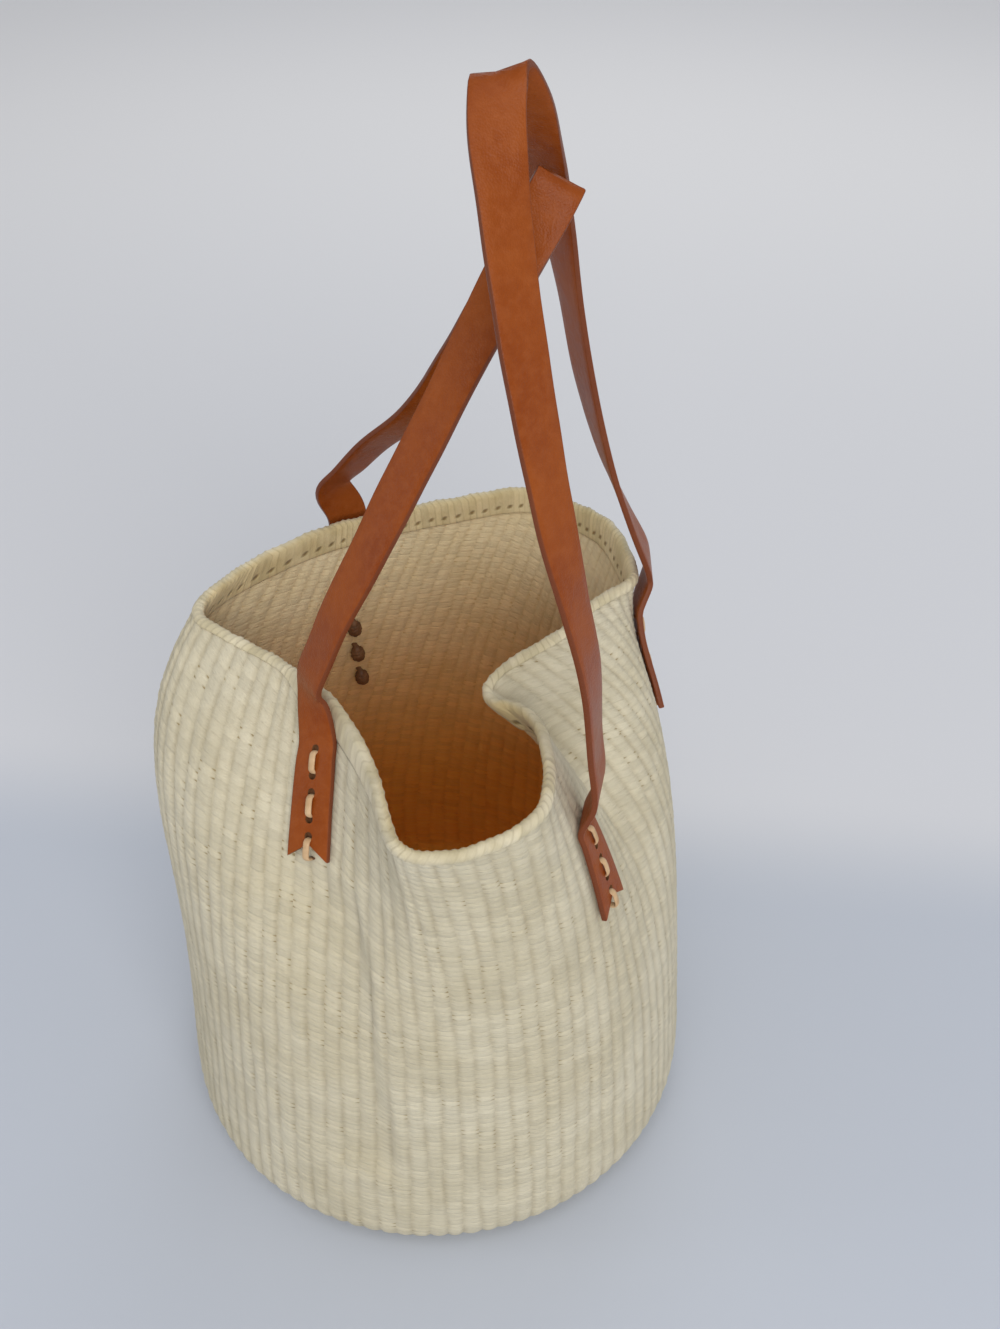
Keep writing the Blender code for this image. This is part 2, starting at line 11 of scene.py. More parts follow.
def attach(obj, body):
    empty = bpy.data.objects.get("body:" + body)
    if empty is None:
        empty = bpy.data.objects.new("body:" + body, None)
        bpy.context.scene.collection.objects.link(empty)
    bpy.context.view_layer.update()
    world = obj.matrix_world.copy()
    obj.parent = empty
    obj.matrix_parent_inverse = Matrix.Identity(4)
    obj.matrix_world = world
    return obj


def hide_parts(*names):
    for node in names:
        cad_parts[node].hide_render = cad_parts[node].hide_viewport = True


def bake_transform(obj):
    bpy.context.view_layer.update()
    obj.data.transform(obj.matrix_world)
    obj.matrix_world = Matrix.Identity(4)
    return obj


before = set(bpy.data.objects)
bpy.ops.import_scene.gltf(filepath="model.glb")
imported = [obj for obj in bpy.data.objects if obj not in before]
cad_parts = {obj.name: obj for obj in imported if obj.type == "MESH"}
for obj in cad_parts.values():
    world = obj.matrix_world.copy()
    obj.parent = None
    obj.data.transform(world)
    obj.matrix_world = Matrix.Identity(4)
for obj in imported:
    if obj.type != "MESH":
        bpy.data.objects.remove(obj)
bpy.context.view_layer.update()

# Sizes shared with the solids
BASE_RADIUS = 0.145
CORNER_RADIUS = 0.024
WALL_HEIGHT = 0.300
WALL_THICKNESS = 0.0032
MOUTH_TAPER = 0.0224
TAPER_POWER = 1.1
FOLD_START_HEIGHT = 0.030
SWELL_REACH = 0.054
SWELL_ANGLE = radians(192)
SWELL_CLIMB_POWER = 4.3
SWELL_SPREAD_POWER = 6
STRAP_WIDTH = 0.022
STRAP_THICKNESS = 0.003
NOTCH_DEPTH = 0.0075
CUT_END_MARGIN = 0.011
LEAVING_MARGIN = 0.003
STITCH_LENGTH = 0.0125
STITCH_PITCH = 0.0203
LACE_RADIUS = 0.0018
KNOT_RADIUS = 0.0027
LACE_BEND_RADIUS = 0.0022
LACE_SLACK = 0.0007
TAB_CLEARANCE = 0.0008
PROBE_STEP = 0.0005
STITCHES_PER_TAB = 3
SURVEY_STEPS = 24
SURVEY_SHARE = 1.5
SEAT_PROBES = 17
TAB_ROWS = 8

RIM_SHARES = (
    (-20, 0.216, -0.050, 0.955, 4.5), (-15, 0.256, 0.035, 0.962, 5.2), (-6, 0.362, 0.105, 0.978, 6.6),
    (4, 0.467, 0.171, 0.99, 8.3), (15, 0.587, 0.311, 1, 10.0), (21.5, 0.658, 0.371, 1, 10.0),
    (30, 0.743, 0.452, 1, 8.4), (44, 0.733, 0.617, 1, 4.4), (59, 0.673, 0.803, 1, 2.6),
    (74, 0.557, 0.918, 1, 2.0), (91, 0.377, 1.034, 1, 2.0), (114, 0.065, 0.958, 1, 2.0),
    (134, -0.200, 0.863, 1, 2.2), (153, -0.416, 0.758, 1, 3.0), (171, -0.657, 0.552, 1, 4.8),
    (184, -0.752, 0.421, 1, 5.3), (190, -0.792, 0.353, 1, 5.5), (196, -0.803, 0.284, 1, 5.6),
    (202, -0.772, 0.213, 1, 5.7), (208, -0.707, 0.161, 1, 5.7), (214, -0.632, 0.100, 1, 5.8),
    (223, -0.522, 0.020, 1, 5.3), (238, -0.386, -0.110, 1, 4.0), (245, -0.296, -0.211, 1, 3.6),
    (253, -0.210, -0.376, 1, 3.5), (260, -0.145, -0.547, 1, 3.6), (267, -0.100, -0.733, 1, 3.7),
    (272, -0.060, -0.853, 1, 3.7), (277, -0.005, -0.898, 1, 3.7), (285, 0.113, -0.903, 1, 3.7),
    (295, 0.256, -0.843, 1, 3.7), (304, 0.377, -0.733, 1, 3.8), (312, 0.414, -0.602, 0.997, 3.8),
    (324, 0.407, -0.371, 0.985, 3.6), (330, 0.367, -0.216, 0.972, 3.7), (334, 0.301, -0.135, 0.962, 3.9),
    (337, 0.241, -0.105, 0.957, 4.1),
)
LEFT_BEND_SHARES = ((-0.3570, -0.2288, 1.045), (-0.3660, 0.8178, 1.075))
RIGHT_BEND_SHARES = ((0.5672, -0.5077, 0.94), (0.7840, 0.4917, 1.034))
LEFT_APEX_SHARES = (0.4287, 0.1315, 1.776)
RIGHT_APEX_SHARES = (0.2602, -0.0140, 1.94)
LEFT_LOOP_SHARES = (
    (0.01, 0.08, -0.010), (0.025, 0.16, -0.018), (0.07, 0.295, -0.018), (0.13, 0.41, -0.017),
    (0.21, 0.57, -0.014), (0.275, 0.695, -0.013), (0.345, 0.835, -0.008), (0.39, 0.935, -0.003),
    (0.43, 1.0, 0.0), (0.467, 0.968, 0.006), (0.502, 0.90, 0.014), (0.585, 0.755, 0.031),
    (0.70, 0.56, 0.053), (0.84, 0.33, 0.058), (0.94, 0.163, 0.024), (0.975, 0.07, 0.010),
)
RIGHT_LOOP_SHARES = (
    (0.035, 0.10, 0.012), (0.065, 0.25, 0.032), (0.10, 0.38, 0.032), (0.17, 0.49, 0.023),
    (0.27, 0.61, 0.014), (0.42, 0.76, 0.003), (0.56, 0.885, -0.002), (0.68, 0.965, -0.005),
    (0.762, 1.0, 0.0), (0.843, 0.941, 0.006), (0.943, 0.857, -0.008), (1.036, 0.766, -0.022),
    (1.09, 0.68, -0.031), (1.12, 0.52, -0.044), (1.10, 0.36, -0.050), (1.06, 0.20, -0.040),
    (1.02, 0.09, -0.018),
)
# The top of right_front stands 1.5 degrees further round here than on its solid
TAB_SHARES = {
    "left_front": (244, 244, 0.1035, 0.035),
    "left_rear": (143, 121, 0.2275, 0.025),
    "right_front": (-41.5, -40, 0.155, 0.0),
    "right_rear": (34.5, 17, 0.100, 0.0233),
}
SEAT_REACH_SHARE = 0.55
DIP_SHARES = (-0.6, -0.3, 0.3, 0.6)
KNOT_SHARE = 0.333

# The twist above each end, which the solids have simpler: shares of the reach, then there how far the
# strap has turned from lying along its hinge to lying across it, as shares of a quarter turn
TURN_SHARES = {
    "left_front": ((0, 0.08, 0.16, 0.295, 0.41, 0.57, 0.695, 0.835, 0.935, 1),
                   (0.30, 0.28, 0.30, 0.36, 0.40, 0.40, 0.44, 0.60, 0.85, 1.0)),
    "left_rear": ((0, 0.16, 0.33, 0.56, 0.755, 1), (0.5, 0.6, 0.7, 0.85, 0.95, 1.0)),
    "right_front": ((0, 0.10, 0.25, 0.38, 0.49, 0.61, 0.76, 0.885, 0.965, 1),
                    (0, 0, 0.07, 0.10, 0.24, 0.30, 0.36, 0.45, 0.62, 0.75)),
    "right_rear": ((0, 0.09, 0.20, 0.36, 0.52, 0.68, 0.766, 0.857, 0.941, 1),
                   (0.1, 0.2, 0.32, 0.42, 0.42, 0.60, 0.72, 0.90, 1.1, 1.25)),
}

# Straps: smoothing of path and twist, waver of the cut width (share, rate, phase), blend at the bend
FREE_EASE = 0.006
CENTRE_EASE = 0.007
TWIST_EASE = 0.016
STATION_STEP = 0.0025
WIDTH_WAVES = ((0.012, 71, 0), (0.008, 173, 1))
SHARP_ANGLE = radians(42)

# Pleats pressed into the wall: heights and the angle of the deepest line at each, then the depth
# and the degrees that it reaches to the two sides of that line
PLEATS = (
    ((0.06, 0.10, 0.15, 0.20, 0.245), (260.5, 260.0, 258.0, 256.0, 252.0), 0.0050, 22, 5),
    ((0.235, 0.25, 0.27, 0.29), (336.0, 337.0, 338.0, 341.0), 0.0026, 5, 5),
)
PLEAT_FADE = 0.022

# Weave
WARPS = 96
COLUMNS_PER_WARP = 4
COLUMNS = WARPS * COLUMNS_PER_WARP
WEFTS = 92
TURN_UP_LENGTH = CORNER_RADIUS * pi / 2
WEFT_PITCH = (TURN_UP_LENGTH + WALL_HEIGHT - CORNER_RADIUS) / WEFTS
ROWS_PER_WEFT = 3
INNER_ROWS_PER_WEFT = 2
SPLIT_WEFT = 46
RIB_RELIEF = 0.0010
WEFT_RELIEF = 0.00042
PROUD = 0.0004
PROUD_START = 11
PROUD_EASE = 4
SLANT = 0.42
LOCK_WEFTS = (1.1, 2.2)
LOCK_EASE = 0.35
LOCK_RELIEF = 0.0004
INNER_RELIEF_SHARE = 0.8
INNER_PROUD_SHARE = 0.5

# Unevenness of the weave: cycles and size of each wave, with its phase where it is not drawn
WARP_WAVES = ((1.3, 0.055), (3.1, 0.035), (7.0, 0.02))
ROW_WAVES = ((2, 0.16, 0.7), (5, 0.1, 0.0))
ROW_WAVE_EASE = 6
RIB_SWELL = 0.25
RIB_SWELL_RATE = 0.35
GROOVE_ROW_SHARE = 0.3
ROUGH_START = 66
ROUGH_EASE = 22
ROUGH_SHARES = (0.75, 0.6)

# Round start of the weave
BASE_GAP = 0.0004
BASE_EYE = 0.0006
BASE_PITCH = 0.00341
BASE_SPOKES = ((0.02, 24), (0.055, 48))
BASE_RIB_RELIEF = 0.0007
BASE_ROW_RELIEF = 0.0003
BASE_SKIN = 0.0010
BASE_CROWN = 0.0015

# Lace
THONG_THICKNESS = 0.0016
THONG_INSET = 0.0014
THONG_LIFT = 0.0004
LACE_SIDES = 12
LACE_STEPS = 4
LACE_ROUND_SHARE = 0.8
LACE_SHRINK_SHARE = 0.15
HOLE_ROD = 0.008
HOLE_FLOOR = 0.0005
HOLE_SIDES = 14
HOLE_CLEARANCE = 0.0003
NOTCH_OVERRUN = 0.004
NOTCH_PUSH = 0.006
KNOT_GIRTH = 0.0040
KNOT_WIDTH_SHARE = 1.05
KNOT_SWELLS = (0.92, 0.75, 0.55)
KNOT_START = -0.004
KNOT_EASE = 0.003
KNOT_LOBES = 3
KNOT_RIPPLE = 0.10
KNOT_RIPPLE_RATE = 2600

# Border
STRANDS = 192
STATIONS_PER_STRAND = 6
STRAND_SLANT = 0.0072
PLAIT_RELIEF = 0.00055
PLAIT_MIDDLE = 0.45
LUMP_SIZE = 0.0007
LUMP_MIDDLE = 0.9
LIP_WAVE = 0.0003
LIP_WAVE_CYCLES = 37
BROAD_ANGLE = 252
BROAD_SPREAD = 12
BROAD_SHARES = (0.9, 1.6)
BORDER_CLOSING = 0.003
HOLE_ROW = 0.0122

# Floor, lamps and camera. A lamp has a name, place, aim, size, power and colour
FLOOR_RADIUS = 12.0
FLOOR_DROP = 0.0002
FLOOR_SIDES = 96
WARM_WHITE = (1.0, 0.98, 0.95)
ROSE_WHITE = (1.0, 0.97, 0.97)
LAMPS = (
    ("key", (0.0, -1.0, 2.5), (0, 0, 0.2), 1.6, 9, WARM_WHITE),
    ("front", (0.6, -2.3, 1.3), (0, 0, 0.2), 1.8, 33, (1.0, 0.99, 0.97)),
    ("left_sheen", (-1.95, -0.15, 0.85), (0, 0, 0.4), 0.6, 3, ROSE_WHITE),
    ("right_sheen", (2.0, -0.20, 0.45), (0, 0, 0.4), 0.6, 1.2, ROSE_WHITE),
    ("back", (0.4, 1.8, 1.8), (0, 0, 0.3), 1.6, 8, (0.96, 0.98, 1.0)),
)
ROOM_COLOUR = (0.93, 0.96, 1.0, 1.0)
ROOM_STRENGTH = 0.52
CAMERA_PLACE = (0.0374, -0.563, 0.769)
CAMERA_TILT = radians(50)
CAMERA_LENS = 40.63


def smoothstep(value):
    value = np.clip(value, 0.0, 1.0)
    return value * value * (3 - 2 * value)


def band(value, low, high, ease):
    """1 between low and high, falling to 0 at each over the ease inside it."""
    return smoothstep((value - low) / ease) * smoothstep((high - value) / ease)


def bulge(across):
    """Rounded profile that is 0 at 0 and 1 and highest half way."""
    return 1 - np.abs(2 * across - 1) ** 2.0


def unit(vector):
    return vector / np.linalg.norm(vector)


def units(vectors):
    return vectors / np.linalg.norm(vectors, axis=-1, keepdims=True)


def catmull_rom(points, closed, steps):
    """Smooth line through the points that does not overshoot where their spacing is uneven."""
    points = np.asarray(points, dtype=float)
    count = len(points)
    if closed:
        padded = np.vstack([points[-1:], points, points[:2]])
    else:
        padded = np.vstack([2 * points[0] - points[1], points, 2 * points[-1] - points[-2]])
    line = []
    for span in range(count if closed else count - 1):
        corners = padded[span:span + 4]
        strides = np.sqrt(np.linalg.norm(np.diff(corners[:, :3], axis=0), axis=1))
        knots = np.concatenate([[0.0], np.cumsum(strides)])
        for place in np.linspace(knots[1], knots[2], steps, endpoint=False):
            line.append(curve_place(corners, knots, place))
    if not closed:
        line.append(points[-1])
    return np.array(line)


def curve_place(corners, knots, place):
    def mix(first, second, start, stop):
        return (first * (stop - place) + second * (place - start)) / (stop - start)

    lower = [mix(corners[step], corners[step + 1], knots[step], knots[step + 1])
             for step in range(3)]
    upper = [mix(lower[step], lower[step + 1], knots[step], knots[step + 2])
             for step in range(2)]
    return mix(upper[0], upper[1], knots[1], knots[2])


def eased(values, reach):
    """Weighted running mean over reach places to each side, with the ends held."""
    ends = np.repeat(values[:1], reach, 0), np.repeat(values[-1:], reach, 0)
    padded = np.concatenate([ends[0], values, ends[1]])
    window = np.hanning(2 * reach + 3)[1:-1]
    window = window / window.sum()
    return np.stack([np.convolve(column, window, "valid") for column in padded.T], -1)


def lengths_along(line):
    steps = np.linalg.norm(np.diff(line[:, :3], axis=0), axis=1)
    return np.concatenate([[0.0], np.cumsum(steps)])


def sampled(places, marks, values):
    """Rows of values read at places between their marks."""
    return np.stack([np.interp(places, marks, column) for column in values.T], -1)


def survey_rim():
    rows = [(share[1] * BASE_RADIUS, share[2] * BASE_RADIUS, share[3] * WALL_HEIGHT,
             share[4], cos(radians(share[0])), sin(radians(share[0]))) for share in RIM_SHARES]
    line = catmull_rom(rows, True, SURVEY_STEPS)
    line = np.vstack([line, line[:1]])
    angles = np.unwrap(np.arctan2(line[:, 5], line[:, 4]))
    return angles, line[:, :4]


RIM_ANGLES, RIM_LINE = survey_rim()


def rim_points(angles):
    turned = RIM_ANGLES[0] + (angles - RIM_ANGLES[0]) % tau
    return sampled(turned, RIM_ANGLES, RIM_LINE)


def wall_points(angles, heights):
    """Outer face of the wall at warp angles and unfolded heights, as arrays."""
    angles, heights = np.broadcast_arrays(angles, heights)
    ratio = heights / WALL_HEIGHT
    facing = np.maximum(np.cos(angles - SWELL_ANGLE), 0.0)
    radius = BASE_RADIUS - MOUTH_TAPER * ratio ** TAPER_POWER
    radius = radius + SWELL_REACH * ratio ** SWELL_CLIMB_POWER * facing ** SWELL_SPREAD_POWER
    turn = np.arccos(np.clip(1 - heights / CORNER_RADIUS, 0.0, 1.0))
    radius = radius - CORNER_RADIUS * (1 - np.sin(turn))
    ring = np.stack([radius * np.cos(angles), radius * np.sin(angles), heights], -1)
    edge = rim_points(angles)
    climb = np.clip((heights - FOLD_START_HEIGHT) / (WALL_HEIGHT - FOLD_START_HEIGHT), 0.0, 1.0)
    share = climb ** edge[..., 3]
    folded = np.stack([edge[..., 0], edge[..., 1], ratio * edge[..., 2]], -1)
    return ring + (folded - ring) * share[..., None]


def wall_frames(angles, heights):
    """Points on the outer face, outward normals and the way up square to the weft."""
    turn_step = PROBE_STEP / BASE_RADIUS
    top = np.minimum(heights + PROBE_STEP, WALL_HEIGHT)
    around = wall_points(angles + turn_step, heights) - wall_points(angles - turn_step, heights)
    upward = wall_points(angles, top) - wall_points(angles, np.maximum(heights - PROBE_STEP, 0.0))
    normals = units(np.cross(around, upward))
    return wall_points(angles, heights), normals, np.cross(normals, units(around))


# Straps, on the middle lines of the solids
def seat_lift(angle, height):
    point, normal, upward = wall_frames(angle, height)
    across = np.cross(upward, normal)
    reach = SEAT_REACH_SHARE * STRAP_WIDTH
    turns = angle + 2 * reach / BASE_RADIUS * np.linspace(-1.0, 1.0, SEAT_PROBES)
    offsets = wall_points(turns, height) - point
    near = np.abs(offsets @ across) < reach
    return max(0.0, float((offsets @ normal)[near].max()))


class Tab:
    def __init__(self, name):
        self.name = name
        top_degrees, end_degrees, first_share, pass_share = TAB_SHARES[name]
        self.top_angle = radians(top_degrees)
        self.end_angle = radians(end_degrees)
        self.pass_out = pass_share * WALL_HEIGHT
        first = first_share * WALL_HEIGHT
        self.stitch_depths = [first + STITCH_PITCH * step for step in range(STITCHES_PER_TAB)]
        self.top_depth = first - STITCH_LENGTH / 2 - LEAVING_MARGIN
        self.end_depth = self.stitch_depths[-1] - STITCH_LENGTH / 2 + CUT_END_MARGIN
        lowest = WALL_HEIGHT - SURVEY_SHARE * self.end_depth
        self.heights = np.linspace(WALL_HEIGHT, lowest, SURVEY_STEPS)
        line = np.array([wall_points(self.angle_at(height), height) for height in self.heights])
        self.depths = lengths_along(line)

    def angle_at(self, height):
        drop = (WALL_HEIGHT - height) / self.end_depth
        return self.top_angle + (self.end_angle - self.top_angle) * min(drop, 1.0)

    def place(self, depth):
        height = float(np.interp(depth, self.depths, self.heights))
        angle = self.angle_at(height)
        point, normal, _ = wall_frames(angle, height)
        return point, normal, seat_lift(angle, height)

    def row(self, depth):
        point, normal, lift = self.place(depth)
        upward = self.place(depth - PROBE_STEP)[0] - self.place(depth + PROBE_STEP)[0]
        upward = unit(upward - normal * np.dot(upward, normal))
        centre = point + normal * (lift + TAB_CLEARANCE + STRAP_THICKNESS / 2)
        return centre, normal, upward, lift

    def dip(self, depth):
        point, normal, _ = self.place(depth)
        near = [self.place(depth + STITCH_LENGTH * share)[0] for share in DIP_SHARES]
        return max(0.0, max(float(np.dot(point - place, normal)) for place in near))


class Strap:
    def __init__(self, side, bend_shares, apex_shares, loop_shares):
        scale = np.array([BASE_RADIUS, BASE_RADIUS, WALL_HEIGHT])
        self.side = side
        self.sign = 1.0 if side == "left" else -1.0
        self.front_bend, self.rear_bend = (np.array(share) * scale for share in bend_shares)
        self.span = float(np.linalg.norm(self.rear_bend - self.front_bend))
        self.axis = unit(self.rear_bend - self.front_bend)
        towards = np.array(apex_shares) * scale - self.front_bend
        reach = towards - self.axis * np.dot(towards, self.axis)
        self.reach = float(np.linalg.norm(reach))
        self.reach_way = unit(reach)
        self.lean_way = np.cross(self.axis, self.reach_way)
        self.tabs = {end: Tab(side + "_" + end) for end in ("front", "rear")}
        self.trace(loop_shares)

    def loop_width(self, reach_share, end):
        turn = np.interp(reach_share, *TURN_SHARES[self.side + "_" + end]) * pi / 2
        sign = self.sign if end == "front" else -self.sign
        return self.axis * sign * cos(turn) - self.lean_way * sin(turn)

    def tab_controls(self, end):
        """Middles and ways across of an end, from its cut edge up."""
        tab = self.tabs[end]
        depths = np.linspace(tab.top_depth, tab.end_depth, TAB_ROWS)[::-1]
        rows = [tab.row(depth)[:3] for depth in depths]
        if tab.pass_out > 0:
            point, normal, upward = wall_frames(tab.top_angle, WALL_HEIGHT)
            rows.append((point + normal * tab.pass_out, normal, upward))
        sign = 1 if end == "front" else -1
        return [(centre, np.cross(normal, upward * sign)) for centre, normal, upward in rows]

    def trace(self, loop_shares):
        apex = max(range(len(loop_shares)), key=lambda index: loop_shares[index][1])
        loop = [(self.front_bend, self.loop_width(0, "front"))]
        for index, (along, reach_share, lean) in enumerate(loop_shares):
            point = (self.front_bend + self.axis * along * self.span
                     + self.reach_way * reach_share * self.reach
                     + self.lean_way * lean * self.reach)
            end = "front" if index <= apex else "rear"
            loop.append((point, self.loop_width(reach_share, end)))
        loop.append((self.rear_bend, self.loop_width(0, "rear")))
        points, widths = zip(*self.tab_controls("front"), *loop, *self.tab_controls("rear")[::-1])
        self.line = catmull_rom(points, False, SURVEY_STEPS)
        self.lengths = lengths_along(self.line)
        self.marks = self.lengths[::SURVEY_STEPS]
        self.mark_widths = np.array(widths)

    def frames(self, stations):
        """Centres, ways across and ways out, with the path and twist above the wall eased."""
        centres = sampled(stations, self.lengths, self.line)
        widths = sampled(stations, self.marks, self.mark_widths)
        step = stations[1] - stations[0]
        free = band(stations, self.marks[TAB_ROWS - 1], self.marks[-TAB_ROWS], FREE_EASE)[:, None]
        centres = centres + (eased(centres, int(CENTRE_EASE / step)) - centres) * free
        widths = widths + (units(eased(widths, int(TWIST_EASE / step))) - widths) * free
        headings = units(np.gradient(centres, axis=0))
        widths = units(widths - headings * np.einsum("ij,ij->i", widths, headings)[:, None])
        return centres, widths, np.cross(headings, widths)


# Meshes
MAP_MARGIN = 0.002


def link(item):
    bpy.context.scene.collection.objects.link(item)
    return item


def from_shape(name, shape, *materials):
    """Object with a bmesh shape's mesh."""
    mesh = bpy.data.meshes.new(name)
    shape.to_mesh(mesh)
    shape.free()
    for material in materials:
        mesh.materials.append(material)
    return link(bpy.data.objects.new(name, mesh))


def signed_volume(vertices, faces):
    corners = vertices[faces]
    volume = 0.0
    for second, third in ((1, 2), (2, 3)):
        crossed = np.cross(corners[:, second], corners[:, third])
        volume += np.einsum("ij,ij->i", corners[:, 0], crossed).sum() / 6
    return volume


def ring_mesh(name, rings, materials, uv_maps, face_slots=None):
    """Closed skin through rings of points: each ring closes on itself and the last joins the first."""
    rows, columns = rings.shape[:2]
    row, column = np.meshgrid(np.arange(rows), np.arange(columns), indexing="ij")
    row_up = (row + 1) % rows
    column_on = (column + 1) % columns
    faces = np.stack([row * columns + column, row * columns + column_on,
                      row_up * columns + column_on, row_up * columns + column], -1).reshape(-1, 4)
    vertices = rings.reshape(-1, 3)
    order = (0, 1, 2, 3)
    if signed_volume(vertices, faces) < 0:
        order = (3, 2, 1, 0)
    faces = faces[:, order]
    mesh = bpy.data.meshes.new(name)
    mesh.vertices.add(len(vertices))
    mesh.vertices.foreach_set("co", vertices.astype(np.float32).ravel())
    mesh.loops.add(faces.size)
    mesh.loops.foreach_set("vertex_index", faces.astype(np.int32).ravel())
    mesh.polygons.add(len(faces))
    mesh.polygons.foreach_set("loop_start", np.arange(0, faces.size, 4, dtype=np.int32))
    mesh.update(calc_edges=True)
    mesh.validate()
    for map_name, grid in uv_maps.items():
        corners = np.stack([grid[:-1, :-1], grid[:-1, 1:], grid[1:, 1:], grid[1:, :-1]], 2)
        corners = corners.reshape(-1, 4, 2)[:, order]
        layer = mesh.uv_layers.new(name=map_name)
        layer.data.foreach_set("uv", corners.astype(np.float32).ravel())
    for material in materials:
        mesh.materials.append(material)
    if face_slots is not None:
        mesh.polygons.foreach_set("material_index", np.repeat(face_slots, columns).astype(np.int32))
    mesh.shade_smooth()
    return link(bpy.data.objects.new(name, mesh))


def grid_uv(rows, columns):
    across, down = (np.linspace(MAP_MARGIN, 1 - MAP_MARGIN, count + 1) for count in (columns, rows))
    return np.stack(np.meshgrid(across, down), -1)


def applied(item):
    """The object's mesh with its modifiers applied."""
    graph = bpy.context.evaluated_depsgraph_get()
    mesh = bpy.data.meshes.new_from_object(item.evaluated_get(graph), depsgraph=graph)
    item.modifiers.clear()
    old = item.data
    item.data = mesh
    bpy.data.meshes.remove(old)
    mesh.name = item.name


# Woven wall
RANDOM = np.random.RandomState(11)
STRAY_WAVES = [(cycles, size, RANDOM.uniform(0, tau, WARPS)) for cycles, size in WARP_WAVES]
RIB_PHASES = RANDOM.uniform(0, tau, WARPS)
BEADS = RANDOM.uniform(0.45, 1.35, (WEFTS + 4, WARPS))
STRAND_SIZES = RANDOM.uniform(0.55, 1.25, STRANDS)


def unfolded(lengths):
    """Unfolded height of places at lengths from the start of the turn-up, along the wall."""
    curved = CORNER_RADIUS * (1 - np.cos(np.minimum(lengths, TURN_UP_LENGTH) / CORNER_RADIUS))
    return curved + np.maximum(lengths - TURN_UP_LENGTH, 0.0)


def warp_wander(wefts):
    """Sideways stray of the grooves between warps, in warps, with a row for each weft place."""
    stray = np.zeros((len(wefts), WARPS))
    for cycles, size, phases in STRAY_WAVES:
        stray += size * np.sin(cycles * tau * wefts[:, None] / WEFTS + phases)
    return stray


def pleat_depths(angles, heights):
    """How far the pleats press the wall in."""
    pressed = np.zeros(heights.shape)
    for places, lines, depth, left, right in PLEATS:
        away = (np.degrees(angles) - np.interp(heights, places, lines) + 180) % 360 - 180
        reach = np.where(away < 0, left, right)
        fade = band(heights, places[0], places[-1], PLEAT_FADE)
        pressed += depth * fade * smoothstep(1 - np.abs(away) / reach)
    return pressed


def woven_rings(wefts, inside):
    """Rings of the wall's face at weft places, with its relief pushed along the normals."""
    rows = wefts[:, None]
    places = np.arange(COLUMNS) / COLUMNS_PER_WARP
    warp = places.astype(int)
    across = places - warp
    stray = warp_wander(wefts)
    shift = stray[:, warp] * (1 - across) + stray[:, (warp + 1) % WARPS] * across
    angles = (places + shift) / WARPS * tau
    lean = sum(size * np.sin(cycles * angles + phase) for cycles, size, phase in ROW_WAVES)
    heights = unfolded((rows + lean * band(rows, 0, WEFTS, ROW_WAVE_EASE)) * WEFT_PITCH)
    points, normals, _ = wall_frames(angles, heights)
    points = points - normals * pleat_depths(angles, heights)[..., None]
    around = np.roll(points, -1, axis=1) - np.roll(points, 1, axis=1)
    upward = np.gradient(points, wefts, axis=0)
    normals = units(np.cross(around, upward))
    slant = -SLANT if inside else SLANT
    stitch = rows + slant * (across - 0.5) * (across > 0)
    bead = BEADS[np.clip(np.floor(stitch), 0, WEFTS + 3).astype(int), warp[None, :]]
    rib = bulge(across)[None, :]
    size = 1 + RIB_SWELL * np.sin(RIB_PHASES[warp][None, :] + rows * RIB_SWELL_RATE)
    rough = ROUGH_SHARES[0] + ROUGH_SHARES[1] * smoothstep((rows - ROUGH_START) / ROUGH_EASE)
    swing = rough * (bulge(stitch % 1.0) * bead - 1)
    relief = RIB_RELIEF * size * (rib - 1)
    relief = relief + WEFT_RELIEF * swing * (GROOVE_ROW_SHARE + (1 - GROOVE_ROW_SHARE) * rib)
    rise = PROUD * smoothstep((rows - PROUD_START) / PROUD_EASE)
    if inside:
        sunk = WALL_THICKNESS + relief * INNER_RELIEF_SHARE + rise * INNER_PROUD_SHARE
        return points - normals * sunk[..., None]
    relief = relief + band(WEFTS - rows, *LOCK_WEFTS, LOCK_EASE) * LOCK_RELIEF * rib
    return points + normals * (relief + rise)[..., None]


def weave_uv(wefts):
    return np.stack(np.meshgrid(np.arange(COLUMNS + 1) / COLUMNS_PER_WARP, wefts), -1)


def face_normals(rings):
    around = np.roll(rings, -1, axis=1) - np.roll(rings, 1, axis=1)
    return units(np.cross(around, np.gradient(rings, axis=0)))


